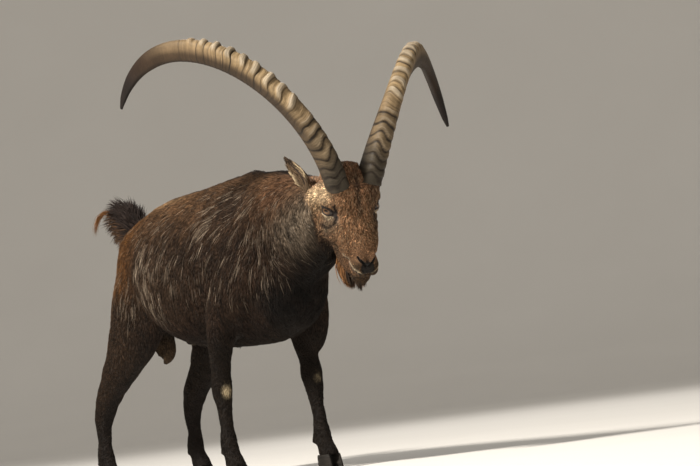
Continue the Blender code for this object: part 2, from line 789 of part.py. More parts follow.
def tail(collection):
    """A short raised tail with a spreading brush of dark locks."""
    rng = random.Random(SEED)
    made = limb("tail", TAIL_CORE, collection, 9, 2.0)
    thin = made.modifiers.new("thin", "DECIMATE")
    thin.ratio = 0.5
    settle(made)
    middle = [world(*row[:3]) for row in smooth_between([r[:3] for r in TAIL_CORE], 9)]
    count = 15
    for n in range(count):
        t = 0.42 + 0.56 * (n / (count - 1))
        i = min(7, int(t * 8))
        root = middle[i].lerp(middle[i + 1], t * 8 - i)
        round_angle = n * 2.399963 + rng.uniform(-0.2, 0.2)
        ahead = (middle[i + 1] - middle[i]).normalized()
        side = ahead.orthogonal().normalized()
        other = ahead.cross(side)
        out = side * math.cos(round_angle) + other * math.sin(round_angle)
        direction = ahead * (0.60 + 0.5 * t) + out * (0.80 - 0.45 * t)
        length = 0.062 + 0.018 * rng.random()
        bend = world(-0.25, 0.0, -0.45) + out * 0.15
        piece = lock("lock", root + out * 0.008, direction, bend, length, 0.0092, 0.0052, out, collection)
        combine(made, piece, "UNION", solver="MANIFOLD")
    return made


BEARD_CUT = ((0.1695, 0.0, -0.1223), (0.383, 0.0, -0.924))


def beard(collection):
    """A beard of brown locks that hangs from under the jaw, behind the chin."""
    rng = random.Random(SEED + 1)
    frame = head_axes()
    turn = frame.to_3x3()
    core = frame @ Vector(BEARD_CUT[0])
    made = egg("beard", core, (0.032, 0.0165, 0.017), collection, turn, 10)
    count = 9
    for n in range(count):
        row = n % 3 - 1
        t = n / (count - 1)
        root = frame @ Vector((0.1535 + 0.036 * t, row * 0.0085, -0.1343 + 0.014 * t))
        direction = turn @ Vector((0.80 + 0.10 * t, row * 0.14, -0.42 + 0.26 * t))
        length = 0.098 + 0.012 * rng.random() - 0.030 * t
        bend = turn @ Vector((0.50, -row * 0.14, 0.42 - 0.20 * t))
        flat = turn @ Vector((0.3, 1.0, 0.0))
        piece = lock("lock", root, direction, bend, length, 0.0098, 0.0062, flat, collection)
        combine(made, piece, "UNION", solver="MANIFOLD")
    return made


def claw(forward, left, side, collection):
    """One claw of a cloven hoof, side being 1 for the left one of the pair."""
    rings = []
    rows = (
        (0.000, 0.0060, 0.94, 0.92),
        (0.0035, 0.0065, 1.00, 1.00),
        (0.018, 0.0040, 0.95, 0.97),
        (CLAW_HEIGHT - GAP, -0.0005, 0.86, 0.90),
    )
    for up, ahead, long, wide in rows:
        ring = []
        for k in range(14):
            angle = 2 * math.pi * k / 14
            x, y = rounded(angle, 2.5)
            outer = x * side > 0
            half = 0.0145 if outer else 0.0128
            narrow = 1.0 - 0.42 * max(0.0, y) ** 2
            place = (forward + ahead + y * CLAW_HALF_LENGTH * long, left + x * half * wide * narrow)
            ring.append(world(place[0], place[1], up))
        rings.append(ring)
    return skin_rings("claw", rings, collection)


def body_forms(collection):
    """All the solids that melt into the body: trunk, neck, muscles and legs."""
    made = [trunk(collection), limb("neck_form", NECK, collection, 26, 2.05), skull(collection)]
    for stations in LEGS.values():
        made.append(limb("leg", stations, collection, 44, 2.05))
    for side in (-1, 1):
        made.append(body_egg("blade", (-0.015, side * 0.070, 0.610), (0.050, 0.100, 0.130), collection, 12))
        made.append(body_egg("haunch", (-0.565, side * 0.075, 0.600), (0.074, 0.125, 0.150), collection, -8))
        made.append(body_egg("elbow", (-0.110, side * 0.118, 0.440), (0.030, 0.042, 0.050), collection))
        heel = (-0.814, -0.141, 0.250) if side < 0 else (-0.748, 0.113, 0.250)
        made.append(body_egg("heel", heel, (0.018, 0.020, 0.034), collection, 20))
    made.append(body_egg("forearm", (-0.085, -0.130, 0.415), (0.040, 0.040, 0.105), collection, 22))
    made.append(body_egg("forearm", (-0.010, 0.126, 0.415), (0.038, 0.040, 0.105), collection, 18))
    made.append(body_egg("withers", (-0.030, 0.0, 0.760), (0.050, 0.110, 0.078), collection))
    made.append(body_egg("brisket", (0.085, 0.0, 0.455), (0.070, 0.080, 0.078), collection, 30))
    made.append(body_egg("sheath", (-0.465, 0.0, 0.408), (0.026, 0.050, 0.024), collection, -14))
    made.append(body_egg("scrotum", (-0.655, 0.0, 0.400), (0.038, 0.040, 0.062), collection, -10))
    made.append(body_egg("purse", (-0.635, 0.0, 0.470), (0.034, 0.050, 0.060), collection))
    made.append(body_egg("dock", (-0.680, 0.0, 0.698), (0.034, 0.045, 0.036), collection, 30))
    for stations in LEGS.values():
        forward, left, up = smooth_between([r[:3] for r in stations], 60)[-7]
        for side in (-1, 1):
            place = (forward - 0.030, left + side * 0.014, 0.082)
            made.append(body_egg("dewclaw", place, (0.0085, 0.0100, 0.0135), collection, 25))
    return made


def cut_apart(name, thing, place, normal, keep_ahead, size, collection):
    """Keeps what lies ahead of a plane, or behind it, leaving half the gap at the plane."""
    normal = normal.normalized()
    facing = -normal if keep_ahead else normal
    start = place - facing * GAP * 0.5
    tool = box_on("knife", start, facing, size, 1.2, collection)
    combine(thing, tool, "DIFFERENCE")
    thing.name = name
    return thing


LEG_CUTS = {
    "foreleg_right": ((-0.118, -0.120, 0.3480), (0.0, 0.0, -1.0), 0.17),
    "foreleg_left": ((-0.068, 0.118, 0.3480), (0.0, 0.0, -1.0), 0.17),
    "hindleg_right": ((-0.634, -0.168, 0.400), (-0.50, 0.0, -0.87), 0.25),
    "hindleg_left": ((-0.578, 0.164, 0.392), (-0.46, 0.0, -0.89), 0.24),
}


def leg_box(name, collection, ahead):
    """A local block below a leg's cut, or the thin slice of the gap above it."""
    place, normal, size = LEG_CUTS[name]
    down = world(*normal).normalized()
    start = world(*place)
    if ahead:
        return box_on("block", start + down * GAP * 0.5, down, size, 0.9, collection)
    return box_on("block", start - down * GAP * 0.5, down, size, 0.9, collection)


def place_nodes(parts, cutters):
    """Builds every node of the animal."""
    nodes = {}
    body = merge_objects("body", body_forms(cutters), cutters)
    fuse(body, BODY_VOXEL, 13, BODY_TRIANGLES)
    floor_box = box_on("floor_box", Vector((0, 0, CLAW_HEIGHT)), Vector((0, 0, -1)), 4.0, 1.0, cutters)
    combine(body, floor_box, "DIFFERENCE")
    neck_place, neck_way = world(*NECK_BASE_CUT[0]), world(*NECK_BASE_CUT[1])
    head_place, head_way = world(*HEAD_CUT[0]), world(*HEAD_CUT[1])
    neck = copy_of(body, "neck", cutters)
    cut_apart("neck", neck, neck_place, neck_way, True, 2.0, cutters)
    cut_apart("neck", neck, head_place, head_way, False, 2.0, cutters)
    nodes["neck"] = keep_largest(neck)
    torso = cut_apart("torso", body, neck_place, neck_way, False, 2.0, cutters)
    for name in LEGS:
        limb_node = copy_of(torso, name, cutters)
        combine(limb_node, leg_box(name, cutters, True), "INTERSECT")
        nodes[name] = keep_largest(limb_node)
    for name in LEGS:
        combine(torso, leg_box(name, cutters, False), "DIFFERENCE")
    tail_place = world(*TAIL_CUT[0])
    tail_way = world(TAIL_CUT[1][0], 0.0, TAIL_CUT[1][2]).normalized()
    knife = box_on("knife", tail_place - tail_way * GAP, tail_way, 0.14, 0.2, cutters)
    combine(torso, knife, "DIFFERENCE")
    nodes["torso"] = keep_largest(torso)
    brush = tail(cutters)
    knife = box_on("knife", tail_place, -tail_way, 0.3, 0.3, cutters)
    combine(brush, knife, "DIFFERENCE", solver="MANIFOLD")
    nodes["tail"] = keep_largest(brush)

    head = merge_objects("head", head_forms(cutters) + [limb("nape", NECK, cutters, 26, 2.05)], cutters)
    fuse(head, HEAD_VOXEL, 5, 30000)
    cut_apart("head", head, head_place, head_way, True, 2.0, cutters)
    count = sum(len(face.vertices) - 2 for face in head.data.polygons)
    thin = head.modifiers.new("thin", "DECIMATE")
    thin.ratio = min(1.0, HEAD_TRIANGLES / count)
    thin.use_collapse_triangulate = True
    settle(head)
    cut_apart("head", head, head_place + head_way.normalized() * 0.00005, head_way, True, 2.0, cutters)
    for side, name in ((-1, "right"), (1, "left")):
        combine(head, horn_knife(side, cutters), "DIFFERENCE")
        nodes["horn_" + name] = horn(side, cutters)
        combine(head, almond(side, cutters), "DIFFERENCE")
        hollow = EYE_RADIUS + GAP
        ball = egg("hollow", eye_centre(side), (hollow, hollow, hollow), cutters, None, 16)
        combine(head, ball, "DIFFERENCE")
        ball = egg("eye", eye_centre(side), (EYE_RADIUS, EYE_RADIUS, EYE_RADIUS), cutters, None, 16)
        nodes["eye_" + name] = ball
        combine(head, nostril(side, cutters), "DIFFERENCE")
        cut_place, cut_way = ear_seat(side)
        combine(head, box_on("knife", cut_place - cut_way * GAP, cut_way, 0.060, 0.04, cutters), "DIFFERENCE")
        cup = ear(side, cutters)
        combine(cup, box_on("knife", cut_place, -cut_way, 0.2, 0.2, cutters), "DIFFERENCE")
        nodes["ear_" + name] = keep_largest(cup)
    combine(head, mouth_line(cutters), "DIFFERENCE")
    frame = head_axes()
    chin_place = frame @ Vector(BEARD_CUT[0])
    chin_way = (frame.to_3x3() @ Vector(BEARD_CUT[1])).normalized()
    combine(head, box_on("knife", chin_place - chin_way * GAP, chin_way, 0.076, 0.06, cutters), "DIFFERENCE")
    nodes["head"] = keep_largest(head)
    tuft = beard(cutters)
    knife = box_on("knife", chin_place, -chin_way, 0.2, 0.2, cutters)
    combine(tuft, knife, "DIFFERENCE", solver="MANIFOLD")
    nodes["beard"] = keep_largest(tuft)

    for name, stations in LEGS.items():
        forward, left = stations[-2][0], stations[-2][1]
        for side, which in ((1, "left"), (-1, "right")):
            piece = claw(forward, left + side * 0.0158, side, cutters)
            nodes["claw_" + name.replace("leg", "") + "_" + which] = piece
    return nodes


def finish(nodes, parts):
    """Names, colours and triangulates the nodes, and sets the animal on the origin."""
    low = Vector((9.0, 9.0, 9.0))
    high = -low
    for thing in nodes.values():
        for vert in thing.data.vertices:
            for axis in range(3):
                low[axis] = min(low[axis], vert.co[axis])
                high[axis] = max(high[axis], vert.co[axis])
    shift = Vector((-(low.x + high.x) / 2, -(low.y + high.y) / 2, -low.z))
    finishes = {
        "horn": (HORN_COLOUR, 0.55),
        "claw": (HOOF_COLOUR, 0.50),
        "eye": (EYE_COLOUR, 0.12),
        "tail": (TUFT_COLOUR, 0.85),
        "beard": (BEARD_COLOUR, 0.85),
        "head": (BROWN_COAT, 0.85),
        "ear": (BROWN_COAT, 0.85),
    }
    for name, thing in nodes.items():
        colour, roughness = finishes.get(name.split("_")[0], (DARK_COAT, 0.88))
        thing.name = name
        thing.data.name = name
        thing.data.transform(Matrix.Translation(shift))
        shape = bmesh.new()
        shape.from_mesh(thing.data)
        bmesh.ops.dissolve_degenerate(shape, edges=shape.edges, dist=0.000001)
        bmesh.ops.triangulate(shape, faces=shape.faces)
        bmesh.ops.recalc_face_normals(shape, faces=shape.faces)
        shape.to_mesh(thing.data)
        shape.free()
        thing.data.materials.clear()
        thing.data.materials.append(material(name + "_surface", colour, roughness))
        for holder in list(thing.users_collection):
            holder.objects.unlink(thing)
        parts.objects.link(thing)
    bpy.context.scene["floor_shift"] = tuple(shift)


def main():
    """Builds the animal."""
    clear_scene()
    parts = bpy.data.collections.new("alpine_ibex")
    cutters = bpy.data.collections.new("cutters")
    for collection in (parts, cutters):
        bpy.context.scene.collection.children.link(collection)
    nodes = place_nodes(parts, cutters)
    finish(nodes, parts)
    for left_over in list(cutters.objects):
        bpy.data.objects.remove(left_over, do_unlink=True)
    bpy.context.scene.collection.children.unlink(cutters)
    bpy.data.collections.remove(cutters)


main()
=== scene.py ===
"""The looks of an alpine ibex: a grown male with a dark coat, standing still on a pale studio floor.

The skin is grown from the solids' flesh, the coat is laid over it tuft by tuft, and the horns, eyes, lids,
ears and hooves are pieces of their own. Places are given in the animal's axes (forward, left, up) or in
the head's (along the face, left, out of the forehead).
"""

import json
import logging
import math
from contextlib import contextmanager
from dataclasses import dataclass, field
from enum import Enum
from typing import Any, Dict, Iterator, List, Optional, Sequence, Tuple

import bmesh
import bpy
import numpy as np
from mathutils import Matrix, Vector
from mathutils.kdtree import KDTree

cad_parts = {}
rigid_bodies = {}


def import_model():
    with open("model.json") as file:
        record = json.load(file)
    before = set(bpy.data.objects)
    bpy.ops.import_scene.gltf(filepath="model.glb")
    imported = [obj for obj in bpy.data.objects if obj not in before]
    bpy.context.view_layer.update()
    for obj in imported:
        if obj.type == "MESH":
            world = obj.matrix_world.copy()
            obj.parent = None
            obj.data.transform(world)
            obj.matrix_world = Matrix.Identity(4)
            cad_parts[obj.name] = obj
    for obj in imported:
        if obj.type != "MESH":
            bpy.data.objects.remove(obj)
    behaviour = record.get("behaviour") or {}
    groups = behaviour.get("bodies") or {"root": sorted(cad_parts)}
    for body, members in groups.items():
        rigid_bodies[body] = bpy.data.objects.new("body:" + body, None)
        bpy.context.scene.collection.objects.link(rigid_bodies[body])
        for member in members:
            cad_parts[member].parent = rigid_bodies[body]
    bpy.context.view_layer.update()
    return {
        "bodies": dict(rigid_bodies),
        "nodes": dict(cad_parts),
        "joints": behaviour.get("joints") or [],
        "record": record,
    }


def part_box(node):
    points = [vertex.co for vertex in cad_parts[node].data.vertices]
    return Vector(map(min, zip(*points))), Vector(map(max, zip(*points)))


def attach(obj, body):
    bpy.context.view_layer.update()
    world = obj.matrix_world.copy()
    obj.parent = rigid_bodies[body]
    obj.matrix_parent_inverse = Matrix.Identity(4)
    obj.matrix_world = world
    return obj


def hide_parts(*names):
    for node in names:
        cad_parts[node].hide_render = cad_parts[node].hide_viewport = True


LOG = logging.getLogger("ibex")
Array = np.ndarray
Colour = Tuple[float, float, float]
Place = Tuple[float, float, float]
Line = Tuple[Place, ...]
FLESH = ("torso", "neck", "head", "foreleg_left", "foreleg_right", "hindleg_left", "hindleg_right")


class Side(Enum):
    """A side of the animal, as the sign of its left axis."""

    RIGHT = -1
    LEFT = 1

    @property
    def word(self) -> str:
        """The side's name in a node's name."""
        return self.name.lower()


# Numbers and fields


def unit(rows: Array) -> Array:
    """Scales each row to length one."""
    return rows / np.maximum(np.linalg.norm(rows, axis=-1, keepdims=True), 1e-9)


def ramp(value: Array, start: float, end: float) -> Array:
    """A smooth step from 0 at start to 1 at end, which may be the lower of the two."""
    t = np.clip((np.asarray(value, float) - start) / (end - start), 0.0, 1.0)
    return t * t * (3.0 - 2.0 * t)


def blob(points: Array, centre: Sequence[float], radii: Sequence[float]) -> Array:
    """A soft ellipsoid mask, 1 at its centre and 0.37 at its radii."""
    return np.exp(-(((points - np.array(centre)) / np.array(radii)) ** 2).sum(-1))


def bell(distance: Array, width: Any) -> Array:
    """A soft ridge, 1 at no distance and 0.37 at its width."""
    return np.exp(-((distance / width) ** 2))


def blend(base: Array, colour: Sequence[float], mask: Array) -> Array:
    """Mixes rows of colour towards one colour by a mask."""
    return base + (np.array(colour) - base) * np.clip(mask, 0.0, 1.0)[:, None]


def even(row: Sequence[float], count: int) -> Array:
    """One colour or direction, once for each of many places."""
    return np.tile(np.array(row), (count, 1))


def squarish(wave: Array, power: float) -> Array:
    """A sine or cosine whose circle is squarer below power 1."""
    return np.sign(wave) * np.abs(wave) ** power


def varied(rng: np.random.Generator, spread: float, count: int) -> Array:
    """Factors about 1 that vary from one tuft to the next, as a column."""
    return np.exp(rng.normal(0.0, spread, count))[:, None]


def beside(line: Line, step: Place) -> Line:
    """A line moved by a step."""
    return tuple((x + step[0], y + step[1], z + step[2]) for x, y, z in line)


@dataclass(frozen=True)
class Patch:
    """A soft patch of colour on the coat: its colour, strength, place and reach."""

    colour: Colour
    share: float
    place: Tuple[float, ...]
    radii: Tuple[float, ...]


def patched(base: Array, points: Array, patches: Sequence[Patch]) -> Array:
    """Lays soft patches over rows of colour, one after another."""
    for patch in patches:
        base = blend(base, patch.colour, patch.share * blob(points, patch.place, patch.radii))
    return base


def ripple(points: Array, scale: float, seed: int, waves: int = 9) -> Array:
    """Smooth noise of about -1 to 1 with features of a given size in metres."""
    rng = np.random.default_rng(seed)
    total = np.zeros(len(points))
    for _ in range(waves):
        way = unit(rng.normal(size=3))
        pitch = rng.uniform(0.6, 1.7) * 2.0 * math.pi / scale
        total += np.sin(points @ way * pitch + rng.uniform(0.0, 6.28))
    return total / math.sqrt(waves)


def to_line(points: Array, line: Sequence[Sequence[float]]) -> Array:
    """Distance from each point to a bent line."""
    best = np.full(len(points), 9.0)
    for start, end in zip(line[:-1], line[1:]):
        a, b = np.array(start, float), np.array(end, float)
        t = np.clip(((points - a) @ (b - a)) / max((b - a) @ (b - a), 1e-12), 0.0, 1.0)
        best = np.minimum(best, np.linalg.norm(points - a - t[:, None] * (b - a), axis=1))
    return best


def smooth_rows(stations: Sequence[Sequence[float]], count: int) -> Array:
    """Reads a smooth curve through rows of numbers, evenly by distance along the first three.

    Args:
        stations: Rows whose first three numbers are a place.
        count: How many rows to read.

    Returns:
        The rows read, as an array.
    """
    rows = np.array(stations, float)
    along = np.concatenate([[0.0], np.cumsum(np.linalg.norm(np.diff(rows[:, :3], axis=0), axis=1))])
    slopes = np.gradient(rows, along, axis=0)
    wanted = np.linspace(0.0, along[-1], count)
    i = np.clip(np.searchsorted(along, wanted, side="right") - 1, 0, len(rows) - 2)
    h = (along[i + 1] - along[i])[:, None]
    t = (wanted - along[i])[:, None] / h
    return (
        (2 * t**3 - 3 * t**2 + 1) * rows[i]
        + (t**3 - 2 * t**2 + t) * h * slopes[i]
        + (3 * t**2 - 2 * t**3) * rows[i + 1]
        + (t**3 - t**2) * h * slopes[i + 1]
    )


def turned(axis: Array, degrees: float) -> Array:
    """The matrix of a turn about an axis."""
    return np.array(Matrix.Rotation(math.radians(degrees), 3, Vector(axis)))


# The animal's own axes


@dataclass
class Anatomy:
    """Where the animal's parts are, in its own axes and in its head's."""

    head_place: Place = (0.4606, 0.0005, 0.7514)
    face_drop: float = 84.0
    head_turn: float = -11.3
    head_tilt: float = 2.1
    eye_place: Place = (0.0675, 0.0595, -0.048)
    eye_radius: float = 0.0178
    eye_reach: float = 0.045
    lid_sizes: Tuple[float, float, float] = (0.0168, 0.0043, 0.0078)
    shift: Array = field(default_factory=lambda: np.zeros(3))
    level: Array = field(init=False)
    head: Array = field(init=False)

    def __post_init__(self) -> None:
        """Works out the head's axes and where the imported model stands."""
        drop = math.radians(self.face_drop)
        self.level = turned([0, 0, 1], self.head_turn) @ turned(self.ways([1, 0, 0]), self.head_tilt)
        face = self.ways([math.cos(drop), 0.0, -math.sin(drop)])
        out = self.ways([math.sin(drop), 0.0, math.cos(drop)])
        self.head = self.level @ np.array([face, self.ways([0, 1, 0]), out]).T
        low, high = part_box("eye_left")
        middle = (np.array(low) + np.array(high)) / 2.0
        self.shift = middle - self.from_head(np.array([self.eye_place]))[0]

    @staticmethod
    def ways(rows: Any) -> Array:
        """Turns directions in the animal's axes into the model's."""
        rows = np.asarray(rows, float)
        return np.stack([rows[..., 1], -rows[..., 0], rows[..., 2]], -1)

    def places(self, rows: Any) -> Array:
        """Turns places in the animal's axes into the model's."""
        return self.ways(rows) + self.shift

    def in_body(self, points: Array) -> Array:
        """Turns the model's places into forward, left and up."""
        p = points - self.shift
        return np.stack([-p[:, 1], p[:, 0], p[:, 2]], -1)

    def from_head(self, rows: Any) -> Array:
        """Turns places in the head's axes into the model's."""
        return np.asarray(rows, float) @ self.head.T + self.places(self.head_place)

    def in_head(self, points: Array) -> Array:
        """Turns the model's places into the head's axes."""
        return (points - self.places(self.head_place)) @ self.head

    def eye_centre(self, side: Side) -> Array:
        """The middle of an eyeball."""
        x, y, z = self.eye_place
        return self.from_head([x, side.value * y, z])

    def eye_ways(self, side: Side) -> Tuple[Array, Array, Array]:
        """The way an eye looks, the line of its lids from nose to ear, and the way up the lids."""
        out = unit(self.head @ np.array([0.05, side.value * 0.80, 0.60]))
        slit = self.head @ np.array([0.60, side.value * -0.50, 0.62])
        slit = unit(slit - out * (slit @ out))
        upright = np.cross(out, slit)
        if upright @ (self.head @ np.array([-1.0, 0.0, 0.3])) < 0:
            upright = -upright
        return out, slit, upright

    def round_eye(self, points: Array, side: Side) -> Tuple[Array, Array, Array, Array]:
        """Reads places from an eye's middle: along the lids' line, up, outwards and the distance."""
        out, slit, upright = self.eye_ways(side)
        offset = points - self.eye_centre(side)
        distance = np.maximum(np.linalg.norm(offset, axis=1), 1e-6)
        reach = self.eye_radius / distance
        return offset @ slit * reach, offset @ upright * reach, offset @ out / distance, distance

    def from_eye(self, folded: Array) -> Array:
        """Distance from the middle of the eye, for places in the folded head."""
        return np.linalg.norm(folded - np.array(self.eye_place), axis=1)

    def opening(self, points: Array) -> Tuple[Array, Array, Array]:
        """How far places are from the lids' opening, in shares of it, for the nearer eye.

        Args:
            points: Places in the model's axes.

        Returns:
            The share, which is 1 on the lids' edge, 9 away from the eye; the height over the lids'
            line; and the distance to the eyeball's middle.
        """
        share = np.full(len(points), 9.0)
        high = np.zeros(len(points))
        far = np.full(len(points), 9.0)
        for side in Side:
            x, y, facing, distance = self.round_eye(points, side)
            length, upper, lower = self.lid_sizes
            narrow = np.sqrt(np.maximum(1.0 - 0.35 * (x / length) ** 2, 0.3))
            tall = np.where(y > 0, upper, lower) * narrow
            found = np.sqrt((x / length) ** 2 + (y / tall) ** 2)
            near = (distance < self.eye_reach) & (facing > 0.05)
            share = np.where(near, found, share)
            high = np.where(near, y, high)
            far = np.where(near, distance, far)
        return share, high, far


# Meshes


def deselect() -> None:
    """Leaves object mode and selects nothing."""
    if bpy.context.object and bpy.context.object.mode != "OBJECT":
        bpy.ops.object.mode_set(mode="OBJECT")
    bpy.ops.object.select_all(action="DESELECT")


def only(thing: bpy.types.Object) -> None:
    """Selects one object and makes it active."""
    deselect()
    thing.select_set(True)
    bpy.context.view_layer.objects.active = thing


@contextmanager
def editing() -> Iterator[None]:
    """Edit mode on the active object, with all of its mesh selected."""
    bpy.ops.object.mode_set(mode="EDIT")
    bpy.ops.mesh.select_all(action="SELECT")
    yield
    bpy.ops.object.mode_set(mode="OBJECT")


@contextmanager
def reshaping(thing: bpy.types.Object) -> Iterator[bmesh.types.BMesh]:
    """An object's mesh as a bmesh, which is written back and freed afterwards."""
    shape = bmesh.new()
    shape.from_mesh(thing.data)
    yield shape
    shape.to_mesh(thing.data)
    shape.free()


def apply_modifier(thing: bpy.types.Object, kind: str, **settings: Any) -> None:
    """Adds a modifier with its settings and applies it at once."""
    only(thing)
    change = thing.modifiers.new(kind.lower(), kind)
    for name, value in settings.items():
        setattr(change, name, value)
    bpy.ops.object.modifier_apply(modifier=change.name)


def read_rows(items: Any, key: str) -> Array:
    """Reads three numbers from each item of a mesh's list."""
    found = np.zeros(len(items) * 3, np.float32)
    items.foreach_get(key, found)
    return found.reshape(-1, 3).astype(float)


def vertices(thing: bpy.types.Object) -> Array:
    """The places of an object's vertices."""
    return read_rows(thing.data.vertices, "co")


def set_vertices(thing: bpy.types.Object, places: Array) -> None:
    """Moves an object's vertices."""
    thing.data.vertices.foreach_set("co", places.astype(np.float32).ravel())
    thing.data.update()


def normals(thing: bpy.types.Object) -> Array:
    """The normals of an object's vertices."""
    return read_rows(thing.data.vertex_normals, "vector")


def triangles(thing: bpy.types.Object) -> Array:
    """The corners of an object's triangles."""
    thing.data.calc_loop_triangles()
    found = np.zeros(len(thing.data.loop_triangles) * 3, np.int32)
    thing.data.loop_triangles.foreach_get("vertices", found)
    return found.reshape(-1, 3)


def make_mesh(name: str, places: Array, faces: Array) -> bpy.types.Object:
    """Makes an object of places and of faces that all have one count of corners."""
    mesh = bpy.data.meshes.new(name)
    corners = faces.shape[1]
    mesh.vertices.add(len(places))
    mesh.vertices.foreach_set("co", places.astype(np.float32).ravel())
    mesh.loops.add(faces.size)
    mesh.loops.foreach_set("vertex_index", faces.astype(np.int32).ravel())
    mesh.polygons.add(len(faces))
    mesh.polygons.foreach_set("loop_start", np.arange(0, faces.size, corners, dtype=np.int32))
    mesh.polygons.foreach_set("use_smooth", np.ones(len(faces), bool))
    mesh.update(calc_edges=True)
    thing = bpy.data.objects.new(name, mesh)
    bpy.context.scene.collection.objects.link(thing)
    return thing


def paint(thing: bpy.types.Object, name: str, rows: Array) -> None:
    """Gives each vertex a colour, or a number, under a name."""
    mesh = thing.data
    if rows.ndim == 2:
        layer = mesh.attributes.new(name, "FLOAT_COLOR", "POINT")
        full = np.ones((len(rows), 4), np.float32)
        full[:, :3] = rows
        layer.data.foreach_set("color", full.ravel())
    else:
        layer = mesh.attributes.new(name, "FLOAT", "POINT")
        layer.data.foreach_set("value", rows.astype(np.float32))


def give_uv(thing: bpy.types.Object, name: str, per_vertex: Array) -> None:
    """Adds a UV map from one UV per vertex."""
    layer = thing.data.uv_layers.new(name=name)
    index = np.zeros(len(thing.data.loops), np.int32)
    thing.data.loops.foreach_get("vertex_index", index)
    layer.data.foreach_set("uv", per_vertex[index].astype(np.float32).ravel())


def loft(name: str, rings: Array, caps: bool = True) -> bpy.types.Object:
    """Joins closed rings of equal count into a tube, with a middle point in each end.

    Args:
        name: The object's name.
        rings: Places, as rings by points by three.
        caps: Whether the ends are closed.

    Returns:
        The object, with its faces turned outwards.
    """
    count, size = rings.shape[:2]
    places = rings.reshape(-1, 3)
    i, k = np.meshgrid(np.arange(count - 1), np.arange(size), indexing="ij")
    a, b = i * size + k, i * size + (k + 1) % size
    c, d = a + size, b + size
    faces = np.concatenate([np.stack([a, b, d], -1).reshape(-1, 3), np.stack([a, d, c], -1).reshape(-1, 3)])
    if caps:
        last = (count - 1) * size
        k = np.arange(size)
        ends = np.array([rings[0].mean(0), rings[-1].mean(0)])
        places = np.concatenate([places, ends])
        first_cap = np.stack([(k + 1) % size, k, np.full(size, len(places) - 2)], -1)
        last_cap = np.stack([last + k, last + (k + 1) % size, np.full(size, len(places) - 1)], -1)
        faces = np.concatenate([faces, first_cap, last_cap])
    thing = make_mesh(name, places, faces)
    with reshaping(thing) as shape:
        bmesh.ops.recalc_face_normals(shape, faces=shape.faces)
    return thing


# Shader maths


class Value:
    """A socket that can be reckoned with."""

    def __init__(self, graph: "Graph", socket: bpy.types.NodeSocket) -> None:
        """Wraps a socket of a graph."""
        self.graph = graph
        self.socket = socket

    def _math(self, operation: str, first: Any, second: Any) -> "Value":
        """Adds a Math node."""
        return self.graph.node("ShaderNodeMath", {"operation": operation}, [first, second])

    def __add__(self, other: Any) -> "Value":
        """Sum."""
        return self._math("ADD", self, other)

    def __sub__(self, other: Any) -> "Value":
        """Difference."""
        return self._math("SUBTRACT", self, other)

    def __rsub__(self, other: Any) -> "Value":
        """Difference from a number."""
        return self._math("SUBTRACT", other, self)

    def __mul__(self, other: Any) -> "Value":
        """Product."""
        return self._math("MULTIPLY", self, other)

    def __truediv__(self, other: Any) -> "Value":
        """Quotient."""
        return self._math("DIVIDE", self, other)

    def __pow__(self, other: Any) -> "Value":
        """Power."""
        return self._math("POWER", self, other)

    __radd__ = __add__
    __rmul__ = __mul__

    def between(self, low: float, high: float) -> "Value":
        """A smooth step from 0 at low to 1 at high."""
        return self.graph.node(
            "ShaderNodeMapRange", {"interpolation_type": "SMOOTHSTEP"}, [self, low, high, 0.0, 1.0]
        )


